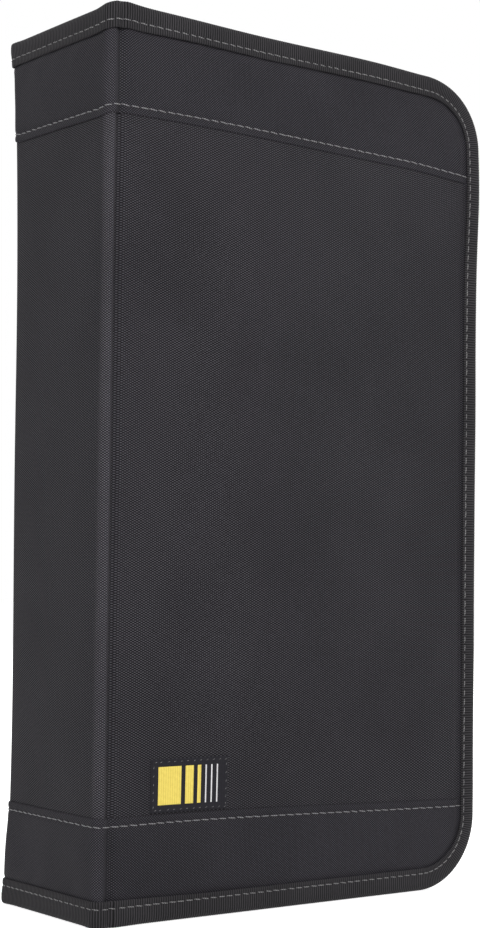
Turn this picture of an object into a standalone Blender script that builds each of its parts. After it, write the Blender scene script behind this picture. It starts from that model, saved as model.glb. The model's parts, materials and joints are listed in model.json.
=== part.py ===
# A nylon wallet for discs that stands on its end and closes with a zip round three sides.
# Metres, +Z up. The front cover faces -Y, the spine faces -X, and the origin is the middle of the base.
# "Depth" is measured inwards from the outermost face of a side, "inset" inwards from its outline.

import math

import bmesh
import bpy
from mathutils import Vector

# Overall sizes
case_height = 0.300
case_width = 0.166
case_depth = 0.064
fore_corner_radius = 0.026
spine_corner_radius = 0.0040

# Clearance between pieces that touch, and half of the groove at each fold line
sewing_gap = 0.0003
crease_half_width = 0.0009

# Shell: padded boards, folded bands at the two ends, bound edges
board_thickness = 0.0033
band_height = 0.035
band_thickness = 0.0008
band_proud = 0.0005
binding_width = 0.008
binding_thickness = 0.0006

# The back edge of the spine is drawn in between the two ends
waist_inset = 0.0037
waist_fade = 0.060
waist_power = 6

# Gusset and zip
gusset_thickness = 0.0006
gusset_reach = 0.025
zip_tape_thickness = 0.0005
zip_tape_overlap = 0.005
zip_tape_slit = 0.0016
coil_radius = 0.0012
coil_mesh_gap = 0.0014
zip_end_length = 0.0212
zip_end_slit_start = 0.0055
stop_length = 0.0018

# Slider and pull
slider_length = 0.012
slider_plate = 0.001
slider_blade = 0.0008
slider_mouth_half = 0.0053
slider_tail_half = 0.0047
slider_flange = 0.0009
slider_end_margin = 0.009
bridge_length = 0.0072
bridge_width = 0.0018
bridge_wall = 0.0010
pull_length = 0.026
pull_width = 0.0085
pull_thickness = 0.001
pull_bar = 0.001
pull_window_length = 0.0050
pull_slot_length = 0.009
pull_slot_width = 0.003

# Leaves for the discs
leaf_count = 20
leaf_thickness = 0.0013
leaf_gap = 0.00105
leaf_end_margin = 0.014
leaf_bound_depth = 0.006
leaf_corner_radius = 0.008
strip_thickness = 0.001
strip_width = 0.040

# Label patch, placed from the front fold line and from the lower band
label_width = 0.0312
label_height = 0.0175
label_thickness = 0.0006
label_from_crease = 0.0162

# Depths of the layers at a bound edge, from the outside in
field_depth = binding_thickness + sewing_gap
band_depth = field_depth - band_proud
band_back = band_depth + band_thickness
recess_depth = band_back + sewing_gap
board_back = field_depth + board_thickness
flange_depth = board_back + sewing_gap
inner_leg_depth = flange_depth + gusset_thickness + sewing_gap
fin_depth = inner_leg_depth + binding_thickness

# Insets from the outline
rim_inset = binding_thickness + sewing_gap
wall_inset = binding_width + sewing_gap
tape_inset = wall_inset + gusset_thickness + sewing_gap
coil_inset = tape_inset - sewing_gap - coil_radius

# Places along the case
half_width = case_width / 2
half_depth = case_depth / 2
crease_x = -half_width + spine_corner_radius + crease_half_width
cover_start = crease_x + crease_half_width
spine_inner_face = -half_width + board_back
zip_end_start = spine_inner_face + sewing_gap
zip_end_finish = zip_end_start + zip_end_length
zip_start = zip_end_finish + sewing_gap
label_left = crease_x + label_from_crease
zip_end_notch_start = zip_end_slit_start - stop_length - 2 * sewing_gap

top = case_height
arc_steps = 8
weld = 1e-6


def clear_scene():
    for old in list(bpy.data.objects):
        bpy.data.objects.remove(old)


def new_collection(name):
    collection = bpy.data.collections.new(name)
    bpy.context.scene.collection.children.link(collection)
    return collection


def new_material(name, colour, roughness, metallic=0.0):
    material = bpy.data.materials.new(name)
    material.use_nodes = True
    shader = material.node_tree.nodes["Principled BSDF"]
    shader.inputs["Base Color"].default_value = (*colour, 1.0)
    shader.inputs["Roughness"].default_value = roughness
    shader.inputs["Metallic"].default_value = metallic
    return material


def arc(centre, radius, start, end, steps=arc_steps):
    """Points on an arc in degrees, both ends included."""
    angles = [math.radians(start + (end - start) * i / steps) for i in range(steps + 1)]
    return [(centre[0] + radius * math.cos(a), centre[1] + radius * math.sin(a)) for a in angles]


def flat_curve(name, loops, closed=True):
    """A 2D curve object with one polygon for each list of points."""
    curve = bpy.data.curves.new(name, "CURVE")
    curve.dimensions = "2D"
    curve.fill_mode = "NONE"
    for points in loops:
        spline = curve.splines.new("POLY")
        spline.points.add(len(points) - 1)
        for point, (x, y) in zip(spline.points, points):
            point.co = (x, y, 0, 1)
        spline.use_cyclic_u = closed
    curve_object = bpy.data.objects.new(name, curve)
    cutters.objects.link(curve_object)
    return curve_object


def made_mesh(curve_object):
    """Turns a curve into a closed mesh in world coordinates, and removes the curve."""
    name = curve_object.name
    bpy.context.view_layer.update()
    graph = bpy.context.evaluated_depsgraph_get()
    mesh = bpy.data.meshes.new_from_object(curve_object.evaluated_get(graph))
    mesh.transform(curve_object.matrix_world)
    bpy.data.objects.remove(curve_object)
    shape = bmesh.new()
    shape.from_mesh(mesh)
    bmesh.ops.remove_doubles(shape, verts=shape.verts, dist=weld)
    bmesh.ops.recalc_face_normals(shape, faces=shape.faces)
    shape.to_mesh(mesh)
    shape.free()
    piece = bpy.data.objects.new(name, mesh)
    case.objects.link(piece)
    return piece


def extruded(name, loops, low, high, on_cover=0):
    """Extrudes an outline. It lies in XY from z = low to high, or, for a cover, in XZ between two depths."""
    curve_object = flat_curve(name, loops)
    curve_object.data.fill_mode = "BOTH"
    curve_object.data.extrude = (high - low) / 2
    middle = (low + high) / 2
    if on_cover:
        curve_object.rotation_euler = (math.radians(90), 0, 0)
        curve_object.location = (0, on_cover * (half_depth - middle), 0)
    else:
        curve_object.location = (0, 0, middle)
    return made_mesh(curve_object)


def swept(name, path, section):
    """Carries a closed section along a flat open path. The section's x points to the right of the path."""
    guide = flat_curve(name + "_section", [section])
    curve_object = flat_curve(name, [path], closed=False)
    curve_object.data.bevel_mode = "OBJECT"
    curve_object.data.bevel_object = guide
    curve_object.data.use_fill_caps = True
    return curve_object, guide


def swept_round_cover(name, side, start_x, section):
    """Carries a section of (inset, depth) points along the open outline of a cover."""
    path = cover_outline(start_x, 0)
    curve_object, guide = swept(name, path, [(inset, side * depth) for inset, depth in section])
    curve_object.rotation_euler = (math.radians(90), 0, 0)
    curve_object.location = (0, side * half_depth, 0)
    piece = made_mesh(curve_object)
    bpy.data.objects.remove(guide)
    return piece


def swept_round_spine(name, section):
    """Carries a section of (depth, height) points round the spine, from one fold line to the other."""
    path = spine_outline(0)
    curve_object, guide = swept(name, path, section)
    piece = made_mesh(curve_object)
    bpy.data.objects.remove(guide)
    return piece


def combine(piece, other, operation, solver="EXACT"):
    """Joins another solid to a piece or cuts it away, and removes the other solid."""
    boolean = piece.modifiers.new(operation.title(), "BOOLEAN")
    boolean.operation = operation
    boolean.object = other
    boolean.solver = solver
    bpy.context.view_layer.update()
    graph = bpy.context.evaluated_depsgraph_get()
    mesh = bpy.data.meshes.new_from_object(piece.evaluated_get(graph))
    piece.modifiers.clear()
    piece.data = mesh
    bpy.data.objects.remove(other)
    return piece


def cover_outline(start_x, inset):
    """The free edge of a cover in XZ, clockwise: along the top, down the fore-edge, back along the base."""
    right = half_width - inset
    radius = fore_corner_radius - inset
    high = top - inset
    centre_x = right - radius
    upper = arc((centre_x, high - radius), radius, 90, 0)
    lower = arc((centre_x, inset + radius), radius, 0, -90)
    return [(start_x, high), *upper, *lower, (start_x, inset)]


def band_outline(inset, start_x, seam_height):
    """The upper part of a cover outline, cut off at the band's seam."""
    right = half_width - inset
    radius = fore_corner_radius - inset
    high = top - inset
    upper = arc((right - radius, high - radius), radius, 90, 0)
    return [(start_x, seam_height), (start_x, high), *upper, (right, seam_height)]


def spine_outline(depth):
    """The outside of the spine in XY, from the front fold line round to the back one."""
    radius = spine_corner_radius - depth
    centre_x = -half_width + spine_corner_radius
    centre_y = half_depth - spine_corner_radius
    front = arc((centre_x, -centre_y), radius, 270, 180, 5)
    back = arc((centre_x, centre_y), radius, 180, 90, 5)
    return [*front, *back]


def mirrored_height(outline):
    """The same outline, turned over between the two ends of the case."""
    return [(x, top - z) for x, z in reversed(outline)]


def rectangle(left, right, low, high):
    return [(left, low), (right, low), (right, high), (left, high)]


def waist_cuts():
    """Heights and widths at which the drawn-in pieces get extra edges."""
    heights = [0.009, 0.018, 0.036, 0.060, 0.090]
    steps = 4
    widths = [crease_x + waist_fade * (i + 1) / steps for i in range(steps)]
    return heights + [top / 2] + [top - z for z in heights], widths


def draw_in(piece):
    """Pulls the back half towards the middle by waist_inset, most at half height and near the spine."""
    heights, widths = waist_cuts()
    shape = bmesh.new()
    shape.from_mesh(piece.data)
    for axis, places in ((Vector((0, 0, 1)), heights), (Vector((1, 0, 0)), widths)):
        for place in places:
            every = shape.verts[:] + shape.edges[:] + shape.faces[:]
            bmesh.ops.bisect_plane(shape, geom=every, dist=weld, plane_co=axis * place, plane_no=axis)
    bmesh.ops.triangulate(shape, faces=shape.faces[:])
    for vertex in shape.verts:
        x, y, z = vertex.co
        if y > 0:
            along = min(max((x - crease_x) / waist_fade, 0.0), 1.0)
            fade = 1 - along * along * (3 - 2 * along)
            rise = 1 - abs(2 * z / top - 1) ** waist_power
            vertex.co.y = y * (1 - waist_inset / half_depth * rise * fade)
    shape.to_mesh(piece.data)
    shape.free()
    return piece


def dress(piece, material, parent=None):
    piece.data.materials.clear()
    piece.data.materials.append(material)
    for polygon in piece.data.polygons:
        polygon.material_index = 0
    piece.data.shade_smooth()
    piece.data.set_sharp_from_angle(angle=math.radians(30))
    if parent:
        piece.parent = parent
        piece.matrix_parent_inverse = parent.matrix_world.inverted()
    return piece


def pivot(name, place, parent=None):
    """An empty on a joint's axis, which carries the pieces that move with it."""
    empty = bpy.data.objects.new(name, None)
    empty.empty_display_size = 0.01
    case.objects.link(empty)
    if parent:
        empty.parent = parent
        place = Vector(place) - parent.matrix_world.translation
    empty.location = place
    bpy.context.view_layer.update()
    return empty


def binding_section():
    """The folded tape round a cover's edge, as (inset, depth): outer leg, fold and inner leg."""
    return [
        (0, 0),
        (binding_width, 0),
        (binding_width, binding_thickness),
        (binding_thickness, binding_thickness),
        (binding_thickness, inner_leg_depth),
        (binding_width, inner_leg_depth),
        (binding_width, fin_depth),
        (0, fin_depth),
    ]


def gusset_section():
    """The gusset in section: a flange sewn under the board, then the side wall."""
    return [
        (rim_inset, flange_depth),
        (wall_inset + gusset_thickness, flange_depth),
        (wall_inset + gusset_thickness, gusset_reach),
        (wall_inset, gusset_reach),
        (wall_inset, flange_depth + gusset_thickness),
        (rim_inset, flange_depth + gusset_thickness),
    ]


def tape_section():
    inner = half_depth - zip_tape_slit / 2
    outer = gusset_reach - zip_tape_overlap
    return rectangle(tape_inset, tape_inset + zip_tape_thickness, outer, inner)


def coil_section():
    centre = half_depth - coil_mesh_gap / 2 - coil_radius
    return arc((coil_inset, centre), coil_radius, 0, 300, 5)


def board(name, side):
    """A padded cover board: full thickness between the seams, stepped down where the bands lie."""
    edge = cover_outline(cover_start, rim_inset)
    piece = extruded(name, [edge], recess_depth, board_back, side)
    low = band_height + sewing_gap
    field = rectangle(cover_start, half_width - rim_inset, low, top - low)
    raised = extruded(name + "_field", [field], field_depth, (recess_depth + board_back) / 2, side)
    return combine(piece, raised, "UNION")


def cover_band(name, side, at_top):
    """A folded band: its face shows inside the binding, and a thin tuck runs on under it."""
    seam = top - band_height
    face = band_outline(wall_inset, cover_start, seam)
    tuck = band_outline(rim_inset, cover_start, seam + sewing_gap)
    if not at_top:
        face, tuck = mirrored_height(face), mirrored_height(tuck)
    piece = extruded(name, [face], band_depth, band_back, side)
    under = extruded(name + "_tuck", [tuck], field_depth, band_back - weld * 20, side)
    return combine(piece, under, "UNION")


def cover(side, name, parent):
    """All pieces that swing with one cover."""
    pieces = [
        dress(board(name + "_cover_panel", side), nylon, parent),
        dress(cover_band(name + "_top_band", side, True), band_nylon, parent),
        dress(cover_band(name + "_bottom_band", side, False), band_nylon, parent),
        dress(swept_round_cover(name + "_binding", side, cover_start, binding_section()), grosgrain, parent),
        dress(swept_round_cover(name + "_gusset", side, zip_start, gusset_section()), nylon, parent),
        dress(swept_round_cover(name + "_zip_tape", side, zip_start, tape_section()), zip_black, parent),
        dress(swept_round_cover(name + "_zip_coil", side, zip_start, coil_section()), coil_black, parent),
    ]
    if side > 0:
        for piece in pieces:
            draw_in(piece)


def spine():
    """The spine panel with its two bands and bindings."""
    inner = [(spine_inner_face, half_depth - recess_depth), (spine_inner_face, -half_depth + recess_depth)]
    shell = [*spine_outline(recess_depth), *inner]
    panel = extruded("spine_panel", [shell], rim_inset, top - rim_inset)
    low = band_height + sewing_gap
    raised = extruded("spine_field", [[*spine_outline(field_depth), *inner]], low, top - low)
    dress(draw_in(combine(panel, raised, "UNION")), nylon)

    seam = top - band_height
    face_end = top - wall_inset
    band = [
        (band_depth, seam),
        (band_back, seam),
        (band_back, top - rim_inset),
        (field_depth, top - rim_inset),
        (field_depth, face_end),
        (band_depth, face_end),
    ]
    for name, turned in (("spine_top_", False), ("spine_bottom_", True)):
        strip = swept_round_spine(name + "band", mirrored_height(band) if turned else band)
        dress(draw_in(strip), band_nylon)
        dress(draw_in(spine_binding(name + "binding", turned)), grosgrain)


def spine_binding(name, turned):
    """The bound end of the spine: the tape goes round its corners, and folds over to an inner leg."""
    outer_end = spine_corner_radius - crease_half_width
    outer = [
        (0, top),
        (0, top - binding_width),
        (binding_thickness, top - binding_width),
        (binding_thickness, top - binding_thickness),
        (outer_end, top - binding_thickness),
        (outer_end, top),
    ]
    fold_start = outer_end - half_width - binding_thickness
    leg_start = spine_inner_face + sewing_gap
    leg_end = leg_start + binding_thickness
    inner = [
        (fold_start, top),
        (fold_start, top - binding_thickness),
        (leg_start, top - binding_thickness),
        (leg_start, top - binding_width),
        (leg_end, top - binding_width),
        (leg_end, top),
    ]
    if turned:
        outer, inner = mirrored_height(outer), mirrored_height(inner)
    piece = swept_round_spine(name, outer)
    leg = extruded(name + "_leg", [inner], fin_depth + sewing_gap, case_depth - fin_depth - sewing_gap, -1)
    return combine(piece, leg, "UNION")


def fork(name, half, notch_half, notch_start, inset, thickness, at_top):
    """A flat piece at an end of the zip, with a notch that opens towards the covers."""
    outline = [
        (zip_end_start, -half),
        (zip_end_finish, -half),
        (zip_end_finish, -notch_half),
        (zip_end_start + notch_start, -notch_half),
        (zip_end_start + notch_start, notch_half),
        (zip_end_finish, notch_half),
        (zip_end_finish, half),
        (zip_end_start, half),
    ]
    low = top - inset - thickness if at_top else inset
    return extruded(name, [outline], low, low + thickness)


def zip_end(place, at_top):
    """Where the two halves of the zip are joined at the spine: gusset, tape, two coil ends and the stop."""
    half = half_depth - inner_leg_depth
    notch = half_depth - gusset_reach
    gusset = fork("zip_end_gusset_" + place, half, notch, zip_end_notch_start, wall_inset, gusset_thickness, at_top)
    dress(draw_in(gusset), nylon)
    tape_half = half_depth - gusset_reach + zip_tape_overlap
    tape = fork(
        "zip_end_tape_" + place,
        tape_half,
        zip_tape_slit / 2,
        zip_end_slit_start,
        tape_inset,
        zip_tape_thickness,
        at_top,
    )
    dress(draw_in(tape), zip_black)
    coil_start = zip_end_start + zip_end_slit_start
    coil_height = top - coil_inset if at_top else coil_inset
    for side, name in ((-1, "front"), (1, "back")):
        centre = side * (coil_mesh_gap / 2 + coil_radius)
        section = [(x - coil_inset + centre, y - half_depth + coil_mesh_gap / 2 + coil_radius)
                   for x, y in coil_section()]
        loop = flat_curve("zip_end_coil_%s_%s" % (place, name), [section])
        loop.data.fill_mode = "BOTH"
        loop.data.extrude = (zip_end_finish - coil_start) / 2
        loop.rotation_euler = (math.radians(90), 0, math.radians(90))
        loop.location = ((zip_end_finish + coil_start) / 2, 0, coil_height)
        dress(made_mesh(loop), coil_black)
    stop_end = coil_start - sewing_gap
    stop_half = coil_mesh_gap / 2 + 2 * coil_radius
    outline = rectangle(stop_end - stop_length, stop_end, -stop_half, stop_half)
    stop_low = top - tape_inset + sewing_gap if at_top else tape_inset - sewing_gap - coil_radius
    dress(extruded("zip_stop_" + place, [outline], stop_low, stop_low + coil_radius), dark_metal)


def slider(parent, x):
    """The zip slider: two plates joined by a blade between the coils, side flanges and a bridge."""
    high = top - coil_inset + coil_radius + sewing_gap
    low = top - tape_inset - zip_tape_thickness - sewing_gap
    back = x - slider_length / 2
    front = x + slider_length / 2
    chamfer = slider_plate
    plate = [
        (back, -slider_mouth_half + chamfer),
        (back + chamfer, -slider_mouth_half),
        (x - chamfer, -slider_mouth_half),
        (front - chamfer, -slider_tail_half),
        (front, -slider_tail_half + chamfer),
        (front, slider_tail_half - chamfer),
        (front - chamfer, slider_tail_half),
        (x - chamfer, slider_mouth_half),
        (back + chamfer, slider_mouth_half),
        (back, slider_mouth_half - chamfer),
    ]
    body = extruded("zip_slider", [plate], high, high + slider_plate)
    lower = extruded("slider_lower", [plate], low - slider_plate, low)
    blade_half = slider_blade / 2
    blade_end = x - slider_length / 6
    blade = [(back + chamfer, 0), (back + 2 * chamfer, -blade_half), (blade_end - chamfer, -blade_half),
             (blade_end, 0), (blade_end - chamfer, blade_half), (back + 2 * chamfer, blade_half)]
    overlap = slider_plate / 2
    post = extruded("slider_blade", [blade], low - overlap, high + overlap)
    combine(body, post, "UNION", "MANIFOLD")
    combine(body, lower, "UNION", "MANIFOLD")
    inner = coil_mesh_gap / 2 + 2 * coil_radius + sewing_gap
    for side in (-1, 1):
        ends = sorted((side * inner, side * (inner + slider_flange)))
        wall = rectangle(x - slider_length / 3, front - chamfer, *ends)
        flange = extruded("slider_flange", [wall], top - coil_inset, high + overlap)
        combine(body, flange, "UNION", "MANIFOLD")
    combine(body, bridge(x, high + slider_plate), "UNION", "MANIFOLD")
    return dress(body, dark_metal, parent)


def bridge(x, seat):
    """The arch over the slider that holds the pull. Its window leaves room for the pull's bar to turn."""
    half = bridge_length / 2
    inside = bar_height() * 2
    outer = [(x - half, seat - slider_plate / 2), (x + half, seat - slider_plate / 2),
             (x + half, seat + inside), (x + half - bridge_wall, seat + inside + bridge_wall),
             (x - half + bridge_wall, seat + inside + bridge_wall), (x - half, seat + inside)]
    window = rectangle(x - half + bridge_wall, x + half - bridge_wall, seat, seat + inside)
    loop = flat_curve("slider_bridge", [outer, window])
    loop.data.fill_mode = "BOTH"
    loop.data.extrude = bridge_width / 2
    loop.rotation_euler = (math.radians(90), 0, 0)
    return made_mesh(loop)


def bar_height():
    """Height of the pull's bar over the slider's upper plate, so that its corners turn freely."""
    return pull_bar / math.sqrt(2) + sewing_gap * 2 / 3


def pull(parent, x, z):
    """The pull tab: a bar under the bridge, two arms beside it and a flat tab with a slot."""
    half = pull_width / 2
    radius = half
    neck = bridge_width / 2 + sewing_gap + slider_flange
    bar = pull_bar / 2
    tip = pull_length - radius
    arm_end = bar + pull_window_length + pull_bar
    outline = [(x - bar, -neck), (x + arm_end, -neck), (x + arm_end + half - neck, -half)]
    outline += [(x + px, py) for px, py in arc((tip, 0), radius, -90, 90)]
    outline += [(x + arm_end + half - neck, half), (x + arm_end, neck), (x - bar, neck)]
    inner = bridge_width / 2 + sewing_gap
    window = rectangle(x + bar, x + bar + pull_window_length, -inner, inner)
    slot_half = pull_slot_width / 2
    slot_start = tip - pull_slot_length
    slot = [(x + px, py) for px, py in arc((tip, 0), slot_half, -90, 90, 4)]
    slot += [(x + px, py) for px, py in arc((slot_start, 0), slot_half, 90, 270, 4)]
    tab = extruded("pull_tab", [outline, window, slot], z - pull_thickness / 2, z + pull_thickness / 2)
    return dress(tab, dark_metal, parent)


def pages():
    """The leaves as one comb, joined at their bound edge, and the strip that holds them to the spine."""
    pitch = leaf_thickness + leaf_gap
    stack = leaf_count * pitch - leaf_gap
    strip_left = spine_inner_face + sewing_gap
    left = strip_left + strip_thickness + sewing_gap
    right = half_width - leaf_end_margin
    comb = [(left, stack / 2), (left, -stack / 2)]
    for i in range(leaf_count):
        low = -stack / 2 + i * pitch
        comb += [(right, low), (right, low + leaf_thickness)]
        if i < leaf_count - 1:
            comb += [(left + leaf_bound_depth, low + leaf_thickness), (left + leaf_bound_depth, low + pitch)]
    low = leaf_end_margin
    high = top - leaf_end_margin
    block = extruded("page_block", [comb], low, high)
    radius = leaf_corner_radius
    past = leaf_bound_depth
    trim = [(left - past, low), *arc((right - radius, low + radius), radius, -90, 0, 5),
            *arc((right - radius, high - radius), radius, 0, 90, 5), (left - past, high)]
    corner_trim = flat_curve("page_trim", [trim])
    corner_trim.data.fill_mode = "BOTH"
    corner_trim.data.extrude = half_depth
    corner_trim.rotation_euler = (math.radians(90), 0, 0)
    dress(combine(block, made_mesh(corner_trim), "INTERSECT"), leaf_grey)
    strip = rectangle(strip_left, strip_left + strip_thickness, -strip_width / 2, strip_width / 2)
    dress(extruded("page_binding_strip", [strip], low, high), zip_black)


def label(parent):
    """The woven patch on the front cover, just over the lower band."""
    low = band_height + 2 * sewing_gap
    patch = rectangle(label_left, label_left + label_width, low, low + label_height)
    depth = field_depth - sewing_gap - label_thickness
    dress(extruded("label_patch", [patch], depth, depth + label_thickness, -1), label_black, parent)


clear_scene()
case = new_collection("cd_storage_case")
cutters = new_collection("cutters")
cutters.hide_render = True

nylon = new_material("nylon", (0.042, 0.040, 0.045), 0.75)
band_nylon = new_material("band_nylon", (0.039, 0.038, 0.043), 0.70)
grosgrain = new_material("grosgrain", (0.030, 0.029, 0.030), 0.80)
zip_black = new_material("zip_black", (0.020, 0.020, 0.021), 0.85)
coil_black = new_material("coil_black", (0.018, 0.018, 0.019), 0.45)
dark_metal = new_material("dark_metal", (0.060, 0.060, 0.062), 0.35, 0.9)
leaf_grey = new_material("leaf_grey", (0.110, 0.110, 0.115), 0.55)
label_black = new_material("label_black", (0.028, 0.026, 0.029), 0.80)

slider_x = zip_end_finish - slider_end_margin
pull_height = top - coil_inset + coil_radius + sewing_gap + slider_plate + bar_height()
front_hinge = pivot("front_cover_hinge", (crease_x, -half_depth, 0))
back_hinge = pivot("back_cover_hinge", (crease_x, half_depth, 0))
slide = pivot("zip_slide", (slider_x, 0, pull_height))
pull_hinge = pivot("pull_swing", (slider_x, 0, pull_height), slide)

spine()
pages()
zip_end("top", True)
zip_end("bottom", False)
cover(-1, "front", front_hinge)
cover(1, "back", back_hinge)
label(front_hinge)
slider(slide, slider_x)
pull(pull_hinge, slider_x, pull_height)
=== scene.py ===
import json
import math
from functools import partial

import bmesh
import bpy
import numpy as np
from mathutils import Matrix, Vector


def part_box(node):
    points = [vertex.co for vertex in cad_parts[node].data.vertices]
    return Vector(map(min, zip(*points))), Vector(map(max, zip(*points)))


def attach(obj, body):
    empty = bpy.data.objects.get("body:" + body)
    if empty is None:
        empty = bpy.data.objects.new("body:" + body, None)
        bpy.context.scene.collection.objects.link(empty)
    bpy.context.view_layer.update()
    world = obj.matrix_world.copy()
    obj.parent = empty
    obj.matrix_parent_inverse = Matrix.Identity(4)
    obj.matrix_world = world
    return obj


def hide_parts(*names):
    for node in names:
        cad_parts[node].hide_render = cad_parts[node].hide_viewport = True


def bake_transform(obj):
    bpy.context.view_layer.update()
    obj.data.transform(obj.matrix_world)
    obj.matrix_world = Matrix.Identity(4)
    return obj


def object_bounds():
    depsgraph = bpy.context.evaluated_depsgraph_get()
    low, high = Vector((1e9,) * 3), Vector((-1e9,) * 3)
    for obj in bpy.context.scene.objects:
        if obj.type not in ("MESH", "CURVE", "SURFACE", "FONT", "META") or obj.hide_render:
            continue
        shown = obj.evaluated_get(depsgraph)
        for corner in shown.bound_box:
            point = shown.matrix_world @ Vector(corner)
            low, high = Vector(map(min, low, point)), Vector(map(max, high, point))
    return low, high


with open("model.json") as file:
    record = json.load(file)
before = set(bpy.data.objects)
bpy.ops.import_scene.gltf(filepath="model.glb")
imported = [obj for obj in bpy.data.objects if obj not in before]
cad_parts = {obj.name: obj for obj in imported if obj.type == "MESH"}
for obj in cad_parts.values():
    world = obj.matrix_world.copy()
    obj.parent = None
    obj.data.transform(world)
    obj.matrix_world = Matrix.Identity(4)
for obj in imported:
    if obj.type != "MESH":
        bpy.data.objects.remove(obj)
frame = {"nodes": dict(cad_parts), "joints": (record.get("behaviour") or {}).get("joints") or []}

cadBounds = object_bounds()

# Everything is in metres, in the frame of the solids: front cover towards -Y, spine towards -X, +Z up.
# "Depth" goes inwards from the outermost face of a side, "inset" inwards from the outline of a cover.

# Places read from the solids

joints = {joint["name"]: joint for joint in frame["joints"]}
caseTop = float(cadBounds[1][2])
halfWidth = float(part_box("front_binding")[1][0])
halfDepth = -float(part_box("front_binding")[0][1])
creaseX = joints["front_cover_hinge"]["pos_m"][0]
upperSeam = float(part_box("front_top_band")[0][2])
lowerSeam = float(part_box("front_bottom_band")[1][2])
fieldDepth = halfDepth + float(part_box("front_cover_panel")[0][1])
boardBack = halfDepth + float(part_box("front_cover_panel")[1][1])
bandDepth = halfDepth + float(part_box("front_top_band")[0][1])
coverFin = halfDepth + float(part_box("front_binding")[1][1])
spineFin = halfWidth + float(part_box("spine_top_binding")[1][0])
wallInset = caseTop - float(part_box("zip_end_gusset_top")[1][2])
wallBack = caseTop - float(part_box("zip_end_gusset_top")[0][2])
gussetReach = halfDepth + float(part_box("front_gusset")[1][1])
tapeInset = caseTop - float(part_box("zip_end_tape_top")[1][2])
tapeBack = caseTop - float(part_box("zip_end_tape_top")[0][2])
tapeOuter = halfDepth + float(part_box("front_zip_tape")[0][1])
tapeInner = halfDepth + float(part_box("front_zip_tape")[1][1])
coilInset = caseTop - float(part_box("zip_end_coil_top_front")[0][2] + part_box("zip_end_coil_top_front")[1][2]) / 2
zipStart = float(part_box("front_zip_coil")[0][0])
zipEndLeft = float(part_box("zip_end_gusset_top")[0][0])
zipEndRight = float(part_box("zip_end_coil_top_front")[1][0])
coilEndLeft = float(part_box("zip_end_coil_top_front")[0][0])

shell = {
    "foreRadius": 0.026,       # rounded corners of the covers
    "spineRadius": 0.0040,     # rounded upright edges of the spine
    "waistInset": 0.0046,      # how far the back edge of the spine is drawn in
    "waistFade": 0.060,
    "waistPower": 6,
    "leanTop": 0.0037,         # the back cover leans: out at the top, in at the base
    "leanBase": -0.0015,
    "leanPinch": 0.8,          # and hardly leans where it folds, so that it opens past the spine's corner:
    "pinchRise": 0.7,          # from this share of the corner's radius before its end
    "pinchHold": 0.0045,       # to this way past it, fading over the reach
    "pinchReach": 0.016,
    "topBow": 0.0018,          # the top edge stands up a little next to the front fold,
    "bowPlace": -0.002,        # its middle, on the way round the case
    "bowSpread": 0.046,
    "topPeak": 0.0009,         # most at the spine's corner
    "peakPlace": 0.001,
    "peakSpread": 0.0065,
    "bowOnSpine": 0.3,         # and less on the spine, changing over the turn before this place
    "bowTurnEnd": 0.005,
    "bowTurn": 0.011,
    "bowFade": 0.035,
    "cornerDroop": 0.0014,     # and its rounded corner hangs a little, most at this way out
    "droopPlace": 0.141,
    "cornerBulge": 0.0012,     # and stands out below, from this way out and most at this height
    "bulgeFrom": 0.11,
    "bulgeReach": 0.045,
    "bulgeHeight": 0.258,
    "cornerSpread": 0.022,
    "evenFrom": 0.007,         # depth at which bow, droop and bulge begin to fade, so that the zip runs straight
    "evenReach": 0.012,
    "foldReach": 0.0033,       # cloth from a spine corner to where the cover begins
    "foldDip": 0.0019,         # depth and half width of the groove at a fold line
    "foldSpread": 0.00145,
    "foldShift": 0.0007,       # how far it lies out on the cover from the hinge
    "foldBack": 0.0031,        # back of the cloth at the folds, where there is no board
    "tuck": 0.003,             # inset of the cloth's cut edge, under the binding
    "seamDrop": 0.0032,        # both seams are sewn a little slanted, lower towards the fore-edge
    "dropFrom": 0.02,
    "dropRun": 0.16,
    "seamDroop": 0.0014,       # and the upper one droops at its end
    "seamDroopFrom": 0.125,
    "seamDroopRun": 0.035,
    "spineDrop": 0.0013,       # and sits lower on the spine, beginning a little outside it
    "spineDropEase": 0.002,
    "spineDropRun": 0.012,
    "dropReach": 0.016,        # how far above and below a seam the cloth goes with it
}

foreRadius = shell["foreRadius"]
centreX = shell["spineRadius"] - halfWidth                     # where the corners of the spine begin
spineStraight = 2 * (halfDepth - shell["spineRadius"])
spineArc = math.pi / 2 * shell["spineRadius"]
spineLength = spineStraight + 2 * spineArc
foldOffset = creaseX - centreX                                 # from the end of the corner to the fold line
foldReach = shell["foldReach"]
coverBegin = centreX + foldReach
farEdge = halfWidth - shell["tuck"] - centreX                  # cloth from a spine corner to its cut edge


# Helpers for shapes

# 3t squared minus 2t cubed, with t held between 0 and 1
def smooth(value):
    t = np.clip(value, 0, 1)
    return t * t * (3 - 2 * t)


# e to the minus (distance / width) squared
def bell(distance, width):
    return np.exp(-(distance / width) ** 2)


# arrays made alike in shape and laid side by side, as points or as places on the cloth
def laid(*parts):
    return np.stack(np.broadcast_arrays(*parts), axis=-1)


# sum of six slanted sine waves near one length, with seeded slants and phases, about -1 to 1
def ripples(a, b, seed, length):
    source = np.random.default_rng(seed)
    slant = source.uniform(0, math.pi, 6)
    phase = source.uniform(0, 2 * math.pi, 6)
    size = length * source.uniform(0.7, 1.6, 6)
    a, b = np.broadcast_arrays(np.asarray(a, float), np.asarray(b, float))
    way = a[..., None] * np.cos(slant) + b[..., None] * np.sin(slant)
    return np.sin(way * 2 * math.pi / size + phase).sum(axis=-1) / 3


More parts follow.
